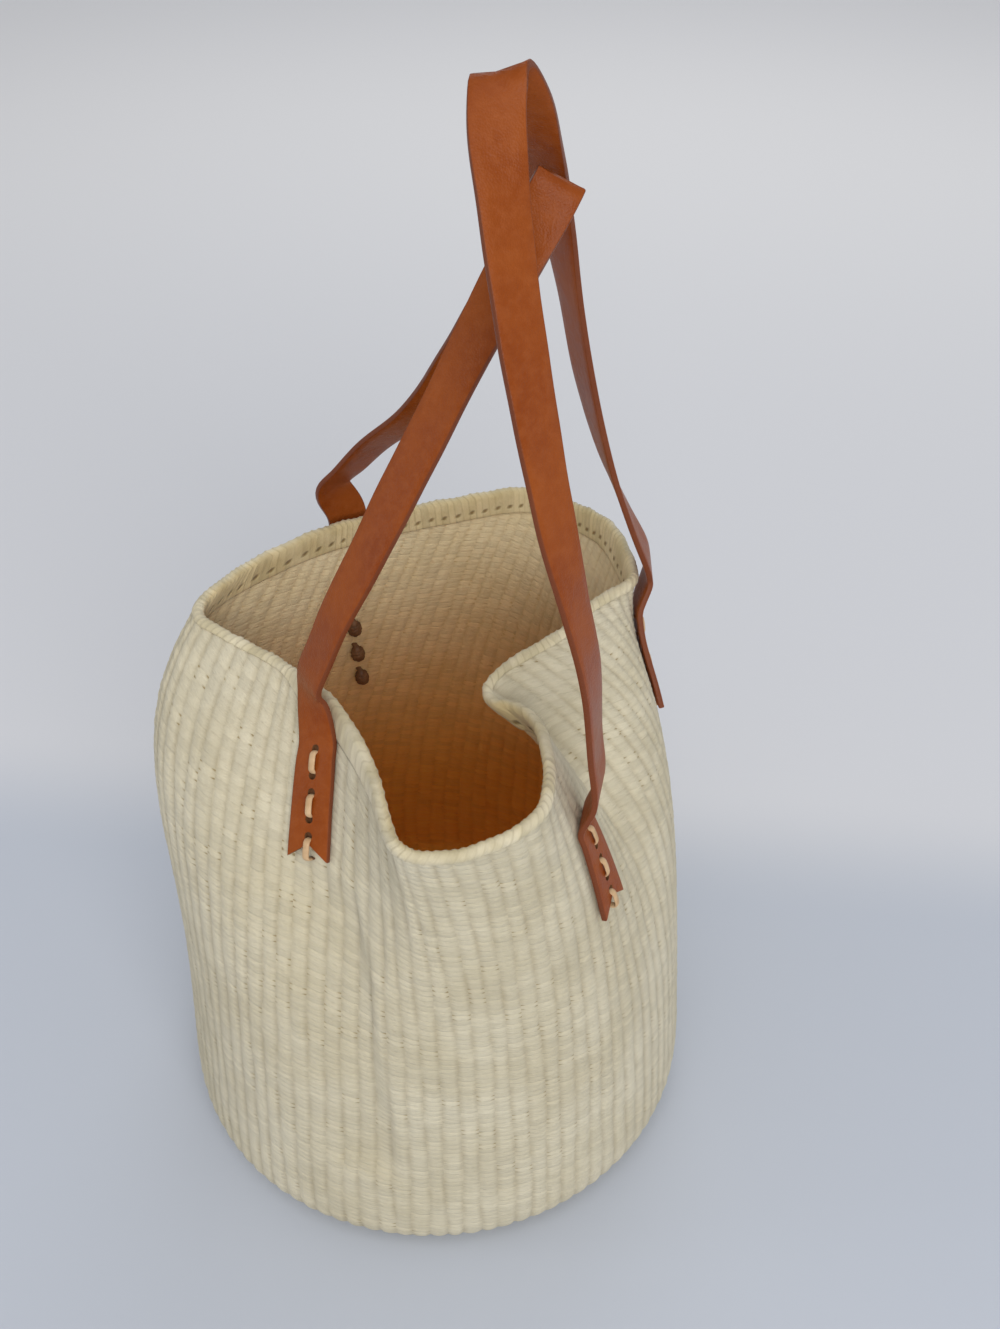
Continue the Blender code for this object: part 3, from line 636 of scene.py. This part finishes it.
def make_wall(materials):
    """The wall in two bands that meet in a groove between two rows and share their normals there."""
    outer_places = np.arange(WEFTS * ROWS_PER_WEFT + 1) / ROWS_PER_WEFT
    inner_places = np.arange(WEFTS * INNER_ROWS_PER_WEFT + 1) / INNER_ROWS_PER_WEFT
    outer = woven_rings(outer_places, False)
    inner = woven_rings(inner_places, True)
    outer_normals = face_normals(outer)
    inner_normals = -face_normals(inner)
    bands = (("twined_wall_lower", 0, SPLIT_WEFT), ("twined_wall_upper", SPLIT_WEFT, WEFTS))
    for name, start, stop in bands:
        out = slice(start * ROWS_PER_WEFT, stop * ROWS_PER_WEFT + 1)
        within = slice(start * INNER_ROWS_PER_WEFT, stop * INNER_ROWS_PER_WEFT + 1)
        rings = np.concatenate([outer[out], inner[within][::-1]])
        normals = np.concatenate([outer_normals[out], inner_normals[within][::-1]])
        wefts = np.concatenate([outer_places[out], inner_places[within][::-1], [start]])
        slots = np.repeat([0, 1], [len(outer_places[out]), len(inner_places[within])])
        maps = {"Weave": weave_uv(wefts), "OFBake": grid_uv(*rings.shape[:2])}
        piece = ring_mesh(name, rings, materials, maps, slots)
        piece.data.normals_split_custom_set_from_vertices(normals.reshape(-1, 3).tolist())
        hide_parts("basket_wall")
        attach(piece, "basket")


def make_base(materials):
    """Round twined start: flat underneath, slightly crowned inside."""
    rim = BASE_RADIUS - CORNER_RADIUS - BASE_GAP
    count = int(rim / BASE_PITCH * 2)
    radii = np.linspace(BASE_EYE, rim, count)
    turns = np.arange(COLUMNS + 1) / COLUMNS
    angles = turns[:-1] * tau
    (first, few), (second, more) = BASE_SPOKES
    spokes = np.where(radii < first, few, np.where(radii < second, more, WARPS))[:, None]
    across = (angles[None, :] / tau * spokes) % 1.0
    rows = (radii[:, None] / BASE_PITCH + angles[None, :] / tau) % 1.0
    depth = BASE_RIB_RELIEF * bulge(across) + BASE_ROW_RELIEF * bulge(rows)
    flat = np.stack([radii[:, None] * np.cos(angles), radii[:, None] * np.sin(angles)], -1)
    under = np.concatenate([flat, (BASE_SKIN - depth)[..., None]], -1)
    crown = WALL_THICKNESS + BASE_CROWN * np.cos(radii / rim * pi / 2)
    over = np.concatenate([flat, (crown[:, None] - BASE_SKIN + depth)[..., None]], -1)
    rings = np.concatenate([under, over[::-1]])
    wefts = np.concatenate([radii, radii[::-1], radii[:1]]) / BASE_PITCH
    spoke_rows = np.concatenate([spokes[:, 0], spokes[::-1, 0], spokes[:1, 0]])
    weave = np.stack([turns[None, :] * spoke_rows[:, None],
                      wefts[:, None] + turns[None, :]], -1)
    slots = np.concatenate([np.zeros(count), np.ones(count)])
    slots[-1] = 0
    maps = {"Weave": weave, "OFBake": grid_uv(*rings.shape[:2])}
    piece = ring_mesh("twined_base", rings, materials, maps, slots)
    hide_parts("basket_base")
    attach(piece, "basket")


# Section of the plaited border: out and up from the outer face's top edge, then the plait's share
BORDER_SECTION = (
    (0.0004, -0.0044, 0.2), (0.0010, -0.0038, 0.6), (0.0014, -0.0028, 1.0), (0.0015, -0.0016, 1.0),
    (0.0014, -0.0004, 1.0), (0.0009, 0.0007, 1.0), (0.0000, 0.0015, 1.0), (-0.0012, 0.0019, 1.0),
    (-0.0024, 0.0017, 1.0), (-0.0034, 0.0010, 1.0), (-0.0041, 0.0000, 1.0), (-0.0044, -0.0014, 1.0),
    (-0.0045, -0.0030, 1.0), (-0.0045, -0.0046, 1.0), (-0.0044, -0.0060, 0.9), (-0.0043, -0.0075, 0.9),
    (-0.0043, -0.0090, 0.8), (-0.0043, -0.0105, 0.7), (-0.0042, -0.0120, 0.5), (-0.0040, -0.0130, 0.2),
    (-0.0034, -0.0130, 0.0), (-0.0033, -0.0080, 0.0), (-0.0033, 0.0000, 0.0),
    (-0.0016, 0.0004, 0.0), (0.0001, 0.0000, 0.0), (0.0001, -0.0040, 0.0),
)


def make_border(materials):
    """Slanted strands laid over the wall's top edge, broader outside to the left of the front mouth."""
    stations = STRANDS * STATIONS_PER_STRAND
    turns = np.arange(stations) / stations
    angles = turns * tau
    section = np.array(BORDER_SECTION)
    run = lengths_along(section[:, :2])
    run = run - run[np.argmax(section[:, 1])]
    following = np.roll(section[:, :2], -1, axis=0) - np.roll(section[:, :2], 1, axis=0)
    side = units(np.stack([-following[:, 1], following[:, 0]], -1))
    sizes = np.append(STRAND_SIZES, STRAND_SIZES[0])
    lumps = np.interp(turns * STRANDS, np.arange(STRANDS + 1), sizes)
    wobble = LUMP_SIZE * (lumps - LUMP_MIDDLE) + LIP_WAVE * np.sin(angles * LIP_WAVE_CYCLES + 1.0)
    away = np.abs((np.degrees(angles) - BROAD_ANGLE + 180) % 360 - 180)
    broad = BROAD_SHARES[0] + BROAD_SHARES[1] * smoothstep(2 - away / BROAD_SPREAD)
    steepness = wall_frames(angles, WALL_HEIGHT)[2][:, 2]
    rings = []
    for index, (out, up, share) in enumerate(section):
        strand = turns * STRANDS + abs(run[index]) / STRAND_SLANT
        raised = bulge(strand % 1.0) * STRAND_SIZES[strand.astype(int) % STRANDS]
        relief = PLAIT_RELIEF * share * (raised - PLAIT_MIDDLE)
        push_out = out + side[index, 0] * relief
        push_up = (up * broad if out > 0 > up else up) + side[index, 1] * relief + wobble * share
        drop = np.minimum(push_up, 0.0)
        point, normal, upward = wall_frames(angles, WALL_HEIGHT + drop * steepness)
        rings.append(point + normal * push_out[:, None] + upward * np.maximum(push_up, 0.0)[:, None])
    rings = np.array(rings)
    closing = np.append(run, run[-1] + BORDER_CLOSING) * 1000
    plait = np.stack(np.meshgrid(np.arange(stations + 1) / STATIONS_PER_STRAND, closing), -1)
    maps = {"Weave": plait, "OFBake": grid_uv(len(section), stations)}
    piece = ring_mesh("plaited_border", rings, materials, maps)
    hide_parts("rim_border")
    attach(piece, "basket")


# Materials: tints in order light, dark and, where there is a third, the painted shade between strands,
# unless named
SISAL_OUTSIDE = ((0.70, 0.633, 0.470), (0.61, 0.538, 0.372), (0.50, 0.42, 0.28))
# The inside's tints are lighter and warmer than the outside's: painted bounce light
SISAL_INSIDE_PAINTED_BOUNCE = ((0.83, 0.70, 0.45), (0.78, 0.63, 0.365), (0.78, 0.68, 0.51))
PLAIT_TINTS = ((0.69, 0.61, 0.43), (0.58, 0.50, 0.32), (0.42, 0.36, 0.26))
# Painted shade: the border's inner side, facing into the basket, yellower and a little darker
HEM_PAINTED_SHADE_TINT = (0.97, 0.90, 0.74)
LEATHER_TINTS = ((0.292, 0.066, 0.008), (0.225, 0.043, 0.004))
LEATHER_GRAIN = (0.36, 0.10, 0.026)
LEATHER_SIDE = (0.15, 0.045, 0.022)
LACE_TINTS = ((0.68, 0.47, 0.27), (0.48, 0.29, 0.14))
# Painted shade: a darker copy of the lace, for the lace inside the wall and its knots, and for the walls
# of the punched holes
KNOT_PAINTED_SHADE_TINTS = ((0.22, 0.10, 0.04), (0.10, 0.04, 0.015))
FLOOR_NEAR = (0.550, 0.582, 0.650)
FLOOR_FAR = (0.705, 0.710, 0.742)
FLOOR_FARTHER = (0.900, 0.885, 0.880)
FLOOR_ROUND = (0.800, 0.790, 0.800)
FIBRE_SHEEN = 0.15

# Painted shade and warm bounce light: the inside turns darker and deeper orange downwards between two
# heights, by a tint
INSIDE_PAINTED_SHADE = (0.08, 0.29, (1.22, 0.69, 0.15))


class Shader:
    """A material with short calls for its nodes."""

    def __init__(self, name, roughness=0.8, specular=0.3, sheen=0.0):
        self.material = bpy.data.materials.new(name)
        self.material.use_nodes = True
        self.tree = self.material.node_tree
        self.surface = self.tree.nodes["Principled BSDF"]
        self.surface.inputs["Roughness"].default_value = roughness
        self.surface.inputs["Specular IOR Level"].default_value = specular
        self.surface.inputs["Sheen Weight"].default_value = sheen

    def node(self, kind, inputs=(), **settings):
        node = self.tree.nodes.new(kind)
        for key, value in settings.items():
            setattr(node, key, value)
        for key, value in dict(inputs).items():
            self.feed(value, node.inputs[key])
        return node

    def feed(self, value, socket):
        if isinstance(value, bpy.types.NodeSocket):
            self.tree.links.new(value, socket)
        else:
            socket.default_value = value

    def math(self, operation, first, second=0.0, third=0.0):
        inputs = {0: first, 1: second, 2: third}
        return self.node("ShaderNodeMath", inputs, operation=operation).outputs[0]

    def times(self, first, second):
        return self.math("MULTIPLY", first, second)

    def plus(self, first, second):
        return self.math("ADD", first, second)

    def ends(self, value):
        """1 at 0 and at 1, and 0 half way."""
        return self.math("ABSOLUTE", self.math("MULTIPLY_ADD", value, 2.0, -1.0))

    def ramp(self, value, low, high, to_low=0.0, to_high=1.0):
        inputs = {"Value": value, "From Min": low, "From Max": high, "To Min": to_low, "To Max": to_high}
        return self.node("ShaderNodeMapRange", inputs, interpolation_type="SMOOTHSTEP").outputs[0]

    def noise(self, vector, scale, detail=2.0, roughness=0.5):
        inputs = {"Vector": vector, "Scale": scale, "Detail": detail, "Roughness": roughness}
        return self.node("ShaderNodeTexNoise", inputs).outputs["Fac"]

    def random(self, vector):
        return self.node("ShaderNodeTexWhiteNoise", {"Vector": vector}).outputs["Value"]

    def vector(self, x=0.0, y=0.0, z=0.0):
        return self.node("ShaderNodeCombineXYZ", {0: x, 1: y, 2: z}).outputs[0]

    def split(self, vector):
        return self.node("ShaderNodeSeparateXYZ", {0: vector}).outputs

    def mix(self, share, first, second, blend="MIX"):
        node = self.tree.nodes.new("ShaderNodeMix")
        node.data_type = "RGBA"
        node.blend_type = blend
        self.feed(share, node.inputs[0])
        for value, socket in ((first, node.inputs[6]), (second, node.inputs[7])):
            self.feed((*value, 1.0) if isinstance(value, tuple) and len(value) == 3 else value, socket)
        return node.outputs[2]

    def tinted(self, tint, by):
        return self.mix(1.0, tint, by, "MULTIPLY")

    def uv(self, name):
        return self.node("ShaderNodeUVMap", uv_map=name).outputs[0]

    def place(self):
        return self.node("ShaderNodeTexCoord").outputs["Object"]

    def colour(self, socket):
        self.feed(socket, self.surface.inputs["Base Color"])

    def rough(self, socket):
        self.feed(socket, self.surface.inputs["Roughness"])

    def bump(self, height, distance, strength=1.0):
        inputs = {"Height": height, "Distance": distance, "Strength": strength}
        node = self.node("ShaderNodeBump", inputs)
        self.feed(node.outputs[0], self.surface.inputs["Normal"])


def weave_material(name, tints, slant, painted_depth_shade=None):
    """Twined sisal: stitches by warp and weft number, fibres along each stitch, blotches by place,
    painted shade in the grooves and in dark specks, and, given a tint for it, painted shade deeper down.
    """
    light, dark, painted_groove_shade = tints
    made = Shader(name, sheen=FIBRE_SHEEN)
    u, v, _ = made.split(made.uv("Weave"))
    across = made.math("FRACT", u)
    phase = made.plus(v, made.times(made.math("SUBTRACT", across, 0.5), slant))
    shade = made.random(made.vector(made.math("FLOOR", u), made.math("FLOOR", phase)))
    groove = made.ramp(made.ends(across), 0.40, 1.0)
    crease = made.ramp(made.ends(made.math("FRACT", phase)), 0.50, 1.0)
    strands = made.vector(made.times(u, 2.2), made.times(phase, 9.0), made.times(shade, 30.0))
    fibre = made.noise(strands, 1.0, 3.0, 0.6)
    place = made.place()
    blotch = made.ramp(made.noise(place, 28.0, 4.0, 0.6), 0.34, 0.68)
    broad = made.ramp(made.noise(place, 7.0, 2.0), 0.35, 0.65)
    tint = made.mix(made.math("MULTIPLY_ADD", blotch, 0.6, made.times(broad, 0.4)), dark, light)
    stain = made.math("MULTIPLY_ADD", made.plus(shade, made.times(fibre, 2.2)), 0.13, 0.79)
    tint = made.tinted(tint, made.vector(stain, stain, stain))
    # Painted shade: the inside darker and more orange towards the bottom
    if painted_depth_shade:
        low, high, painted_shade_tint = painted_depth_shade
        height = made.split(place)[2]
        tint = made.mix(made.ramp(height, low, high), made.tinted(tint, painted_shade_tint), tint)
    # Painted shade: darker grooves between ribs and rows, and dark specks where holes would show
    streak = made.noise(made.vector(made.times(u, 0.9), made.times(v, 0.22), 7.0), 1.0, 3.0)
    line = made.times(groove, made.ramp(streak, 0.3, 0.7, 0.10, 0.34))
    line = made.plus(line, made.times(crease, 0.05))
    painted_speck_shade = made.times(made.times(groove, crease), made.ramp(shade, 0.93, 0.97))
    line = made.math("MINIMUM", made.plus(line, made.times(painted_speck_shade, 1.3)), 1.0)
    made.colour(made.mix(line, tint, made.tinted(tint, painted_groove_shade)))
    made.rough(made.ramp(fibre, 0.2, 0.8, 0.92, 0.74))
    height = made.math("MULTIPLY_ADD", fibre, 1.1, made.times(crease, -0.3))
    made.bump(made.math("MULTIPLY_ADD", groove, -0.3, height), 0.0007, 0.9)
    return made.material


def border_material():
    """Plaited sisal: slanted strands, with painted shade in the grooves, on the inner side (yellower)
    and in a row of holes in the hem.
    """
    light, dark, painted_groove_shade = PLAIT_TINTS
    made = Shader("plaited sisal", sheen=FIBRE_SHEEN)
    u, v, _ = made.split(made.uv("Weave"))
    strand = made.plus(u, made.math("DIVIDE", made.math("ABSOLUTE", v), STRAND_SLANT * 1000))
    across = made.ends(made.math("FRACT", strand))
    shade = made.random(made.vector(made.math("FLOOR", strand), 3.0))
    fibre = made.noise(made.vector(made.times(strand, 7.0), made.times(v, 0.5)), 1.0, 3.0, 0.6)
    tint = made.mix(made.ramp(made.noise(made.place(), 60.0, 3.0), 0.35, 0.65), dark, light)
    # Painted shade on the inner side of the border
    tint = made.mix(made.ramp(v, -1.0, 3.0), tint, made.tinted(tint, HEM_PAINTED_SHADE_TINT))
    stain = made.math("MULTIPLY_ADD", made.plus(shade, fibre), 0.16, 0.84)
    tint = made.tinted(tint, made.vector(stain, stain, stain))
    # Painted shade: a row of dark holes in the hem, and darker grooves between strands
    hole_across = made.ends(made.math("FRACT", made.times(u, WARPS / STRANDS)))
    hole_down = made.math("ABSOLUTE", made.math("SUBTRACT", v, HOLE_ROW * 1000))
    painted_hole_shade = made.times(made.ramp(hole_across, 0.60, 0.10), made.ramp(hole_down, 1.7, 0.3))
    line = made.times(made.ramp(across, 0.6, 1.0), made.ramp(shade, 0.2, 1.0, 0.08, 0.32))
    line = made.math("MAXIMUM", line, painted_hole_shade)
    made.colour(made.mix(line, tint, made.tinted(tint, painted_groove_shade)))
    made.rough(made.ramp(fibre, 0.2, 0.8, 0.92, 0.74))
    made.bump(made.math("MULTIPLY_ADD", fibre, 0.5, made.times(line, -1.0)), 0.0006, 0.9)
    return made.material


def leather_material():
    """Tan strap leather: pebbled grain, mottled dye and dark burnished sides."""
    light, dark = LEATHER_TINTS
    made = Shader("tan leather", roughness=0.36, specular=0.15)
    place = made.place()
    side = made.ramp(made.math("ABSOLUTE", made.split(made.uv("Strap"))[0]), 0.93, 1.0)
    mottle = made.ramp(made.noise(place, 22.0, 4.0, 0.6), 0.3, 0.7)
    fine = made.noise(place, 240.0, 3.0, 0.6)
    tint = made.mix(mottle, dark, light)
    tint = made.mix(made.ramp(fine, 0.35, 0.75, 0.0, 0.30), tint, LEATHER_GRAIN)
    made.colour(made.mix(made.times(side, 0.75), tint, LEATHER_SIDE))
    pores = made.node("ShaderNodeTexVoronoi", {"Vector": place, "Scale": 1100.0}).outputs["Distance"]
    crease = made.noise(place, 70.0, 3.0, 0.55)
    height = made.math("MULTIPLY_ADD", pores, 0.35, made.times(crease, 0.9))
    made.bump(made.math("MULTIPLY_ADD", fine, 0.6, height), 0.0004, 0.9)
    made.rough(made.ramp(made.plus(fine, mottle), 0.6, 1.4, 0.32, 0.44))
    return made.material


def lace_material(name, tints):
    """Fibrous lace, mottled between its two tints."""
    light, dark = tints
    made = Shader(name, roughness=0.55, specular=0.4)
    place = made.place()
    fibre = made.noise(place, 420.0, 3.0, 0.6)
    broad = made.ramp(made.noise(place, 130.0, 2.0), 0.35, 0.65)
    share = made.math("MULTIPLY_ADD", fibre, 0.5, made.times(broad, 0.5))
    made.colour(made.mix(share, dark, light))
    made.rough(made.ramp(fibre, 0.3, 0.7, 0.48, 0.66))
    made.bump(fibre, 0.0004, 0.8)
    return made.material


# Leather straps: section as shares of half the width and half the thickness
STRAP_SECTION = ((-1.0, -0.55), (-1.0, 0.55), (-0.985, 0.85), (-0.94, 1.0), (-0.6, 1.02), (0.0, 1.03),
                 (0.6, 1.02), (0.94, 1.0), (0.985, 0.85), (1.0, 0.55), (1.0, -0.55), (0.985, -0.85),
                 (0.94, -1.0), (0.6, -1.0), (0.0, -1.0), (-0.6, -1.0), (-0.94, -1.0), (-0.985, -0.85))


def punch(shape, tab):
    """Rods for the lace holes of a strap end, standing on the floor of each hole."""
    rise = HOLE_ROD / 2 - STRAP_THICKNESS / 2 + HOLE_FLOOR
    radius = LACE_RADIUS + HOLE_CLEARANCE
    for depth in tab.stitch_depths:
        centre, normal, upward, _ = tab.row(depth)
        turn = Vector((0, 0, 1)).rotation_difference(Vector(normal)).to_matrix().to_4x4()
        for along in (STITCH_LENGTH / 2, -STITCH_LENGTH / 2):
            middle = centre + upward * along + normal * rise
            bmesh.ops.create_cone(shape, cap_ends=True, segments=HOLE_SIDES, depth=HOLE_ROD,
                                  radius1=radius, radius2=radius,
                                  matrix=Matrix.Translation(Vector(middle)) @ turn)


def notch(shape, tab):
    """Wedge that cuts a strap end to a swallowtail."""
    centre, normal, upward, _ = tab.row(tab.end_depth)
    half = STRAP_WIDTH / 2 * (NOTCH_DEPTH + NOTCH_OVERRUN) / NOTCH_DEPTH
    across = np.cross(normal, upward) * half
    below = -upward * NOTCH_OVERRUN
    outline = [upward * NOTCH_DEPTH, below - across, below + across]
    sides = [[shape.verts.new(Vector(centre + corner + normal * push)) for corner in outline]
             for push in (-NOTCH_PUSH, NOTCH_PUSH)]
    shape.faces.new(sides[0])
    shape.faces.new(sides[1][::-1])
    for index in range(3):
        after = (index + 1) % 3
        shape.faces.new((sides[0][index], sides[1][index], sides[1][after], sides[0][after]))


def end_cutter(strap):
    """What the two ends of a strap lose. Faces cut before the last notch take the second material, the
    darker lace colour that paints shade into the holes.
    """
    shape = bmesh.new()
    for end in ("front", "rear"):
        punch(shape, strap.tabs[end])
        for face in shape.faces:
            face.material_index = 1
        notch(shape, strap.tabs[end])
    bmesh.ops.recalc_face_normals(shape, faces=shape.faces)
    return from_shape(strap.side + "_end_cutter", shape)


def strap_shape(strap):
    """The section drawn along the strap, with how far across and along it each corner lies."""
    stations = np.linspace(0.0, strap.lengths[-1], int(strap.lengths[-1] / STATION_STEP))
    section = np.array(STRAP_SECTION)
    count = len(section)
    shape = bmesh.new()
    layer = shape.loops.layers.uv.new("Strap")
    rings = []
    for travelled, centre, width, outward in zip(stations, *strap.frames(stations)):
        waver = 1 + sum(share * sin(travelled * rate + phase) for share, rate, phase in WIDTH_WAVES)
        sideways = width * STRAP_WIDTH / 2 * waver
        outwards = outward * STRAP_THICKNESS / 2
        rings.append([shape.verts.new(Vector(centre + sideways * across + outwards * out))
                      for across, out in section])
    for row in range(len(stations) - 1):
        for column in range(count):
            beside = (column + 1) % count
            face = shape.faces.new((rings[row][column], rings[row][beside],
                                    rings[row + 1][beside], rings[row + 1][column]))
            marks = ((section[column, 0], stations[row]), (section[beside, 0], stations[row]),
                     (section[beside, 0], stations[row + 1]), (section[column, 0], stations[row + 1]))
            for loop, mark in zip(face.loops, marks):
                loop[layer].uv = mark
    shape.faces.new(rings[0])
    shape.faces.new(rings[-1][::-1])
    bmesh.ops.recalc_face_normals(shape, faces=shape.faces)
    return shape


def make_strap(strap, leather, painted_hole_shade):
    """One continuous strap from cut end to cut end, punched and notched."""
    # The cut hole walls take the second material: painted shade
    piece = from_shape(strap.side + "_strap", strap_shape(strap), leather, painted_hole_shade)
    cutter = end_cutter(strap)
    trim = piece.modifiers.new("Ends", "BOOLEAN")
    trim.operation = "DIFFERENCE"
    trim.solver = "EXACT"
    trim.object = cutter
    applied(piece)
    bpy.data.objects.remove(cutter, do_unlink=True)
    piece.data.shade_smooth()
    piece.data.set_sharp_from_angle(angle=SHARP_ANGLE)
    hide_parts(strap.side + "_handle_loop", strap.side + "_front_tab", strap.side + "_rear_tab")
    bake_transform(piece)


# Lace
def lace_path(tab, depth):
    """Closed rounded loop through two holes, as (along, out, swell) steps, outside run first."""
    centre, normal, upward, lift = tab.row(depth)
    lift += tab.dip(depth)
    top = STRAP_THICKNESS / 2 + THONG_THICKNESS / 2 + THONG_LIFT
    inside = STRAP_THICKNESS / 2 + TAB_CLEARANCE + lift + WALL_THICKNESS
    bottom = -(inside + LACE_SLACK + KNOT_RADIUS)
    half = STITCH_LENGTH / 2 - THONG_INSET
    bend = LACE_BEND_RADIUS
    near, far, corner = KNOT_SWELLS
    knot = ((-2, far), (-1, near), (0, 1.0), (1, near), (2, far))
    points = []
    corners = ((half, top, 0), (-half, top, 90), (-half, bottom, 180), (half, bottom, 270))
    for along, out, start in corners:
        middle = (along - bend * (1 if along > 0 else -1), out - bend * (1 if out > 0 else -1))
        for turn in (start, start + 30, start + 60, start + 90):
            angle = radians(turn)
            swell = corner * smoothstep(1 - abs(turn - 270) / 90) if out < 0 else 0.0
            points.append((middle[0] + bend * cos(angle), middle[1] + bend * sin(angle), swell))
        if start == 180:
            points.extend((half * step * KNOT_SHARE, out, swell) for step, swell in knot)
    return centre, normal, upward, points


def make_lace(tab, number, lace, knot):
    """Flat lace outside the leather, round and knotted inside the wall."""
    centre, normal, upward, points = lace_path(tab, tab.stitch_depths[number])
    line = catmull_rom([(along, out, 0.0, swell) for along, out, swell in points], True, LACE_STEPS)
    across = np.cross(normal, upward)
    count = len(line)
    rings = np.zeros((count, LACE_SIDES, 3))
    for index in range(count):
        along, out, _, swell = line[index]
        heading = unit(line[(index + 1) % count][:2] - line[index - 1][:2])
        outward = np.array([heading[1], -heading[0]])
        inner = smoothstep((KNOT_START - out) / KNOT_EASE)
        thin = LACE_RADIUS * LACE_ROUND_SHARE
        thick = THONG_THICKNESS / 2 * (1 - inner) + (thin + (KNOT_GIRTH - thin) * swell) * inner
        wide = LACE_RADIUS * (1 - LACE_SHRINK_SHARE * inner)
        wide = wide + (KNOT_GIRTH * KNOT_WIDTH_SHARE - LACE_RADIUS) * swell
        for side in range(LACE_SIDES):
            turn = side / LACE_SIDES * tau
            ripple = 1 + KNOT_RIPPLE * swell * sin(KNOT_LOBES * turn + along * KNOT_RIPPLE_RATE)
            shift = outward * sin(turn) * thick * ripple
            rings[index, side] = (centre + upward * (along + shift[0]) + normal * (out + shift[1])
                                  + across * cos(turn) * wide * ripple)
    # The lace's part inside the wall takes the darker copy: painted shade
    slots = (line[:, 1] < 0).astype(int)
    name = tab.name + "_lace_" + str(number + 1)
    piece = ring_mesh(name, rings, (lace, knot), {"Weave": grid_uv(count, LACE_SIDES)}, slots)
    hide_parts(tab.name + "_stitch_" + str(number + 1))
    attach(piece, "basket")


# Floor, light and camera
def make_floor():
    """Pale floor that turns paler behind the basket, like the photograph's wall, and far out."""
    shape = bmesh.new()
    bmesh.ops.create_circle(shape, cap_ends=True, radius=FLOOR_RADIUS, segments=FLOOR_SIDES)
    made = Shader("pale floor", roughness=0.9, specular=0.1)
    x, y, _ = made.split(made.place())
    line = made.math("MULTIPLY_ADD", x, 0.12, y)
    tint = made.mix(made.ramp(line, 0.12, 0.24), FLOOR_NEAR, FLOOR_FAR)
    tint = made.mix(made.ramp(line, 0.3, 2.0), tint, FLOOR_FARTHER)
    away = made.plus(made.times(x, x), made.times(y, y))
    made.colour(made.mix(made.ramp(away, 0.9, 5.0), tint, FLOOR_ROUND))
    floor = from_shape("floor", shape, made.material)
    floor.location.z = -FLOOR_DROP


def add_lamp(name, place, aim, size, power, colour):
    lamp = bpy.data.lights.new(name, "AREA")
    lamp.shape = "DISK"
    lamp.size = size
    lamp.energy = power
    lamp.color = colour
    item = link(bpy.data.objects.new(name, lamp))
    item.location = place
    item.rotation_euler = (Vector(aim) - Vector(place)).to_track_quat("-Z", "Y").to_euler()


def light_and_camera():
    scene = bpy.context.scene
    scene.view_settings.view_transform = "Standard"
    world = bpy.data.worlds.new("soft room")
    scene.world = world
    world.use_nodes = True
    background = world.node_tree.nodes["Background"].inputs
    background["Color"].default_value = ROOM_COLOUR
    background["Strength"].default_value = ROOM_STRENGTH
    for lamp in LAMPS:
        add_lamp(*lamp)
    camera = bpy.data.cameras.new("camera")
    camera.sensor_width = 36.0
    camera.lens = CAMERA_LENS
    camera.clip_end = 50.0
    item = link(bpy.data.objects.new("camera", camera))
    item.location = CAMERA_PLACE
    item.rotation_euler = (CAMERA_TILT, 0.0, 0.0)
    scene.camera = item


def dress():
    outside = weave_material("sisal outside", SISAL_OUTSIDE, SLANT)
    # The inside copy of the sisal carries painted bounce light, and painted shade deeper down
    within = weave_material("sisal inside with painted light", SISAL_INSIDE_PAINTED_BOUNCE, -SLANT, INSIDE_PAINTED_SHADE)
    make_wall((outside, within))
    make_base((outside, within))
    make_border((border_material(),))
    leather = leather_material()
    lace = lace_material("rawhide lace", LACE_TINTS)
    # Darker copy of the lace for the knots inside and the strap's hole walls: painted shade
    knot = lace_material("lace knot in painted shade", KNOT_PAINTED_SHADE_TINTS)
    left = Strap("left", LEFT_BEND_SHARES, LEFT_APEX_SHARES, LEFT_LOOP_SHARES)
    right = Strap("right", RIGHT_BEND_SHARES, RIGHT_APEX_SHARES, RIGHT_LOOP_SHARES)
    for strap in (left, right):
        make_strap(strap, leather, knot)
        for tab in strap.tabs.values():
            for number in range(STITCHES_PER_TAB):
                make_lace(tab, number, lace, knot)


dress()
make_floor()
light_and_camera()
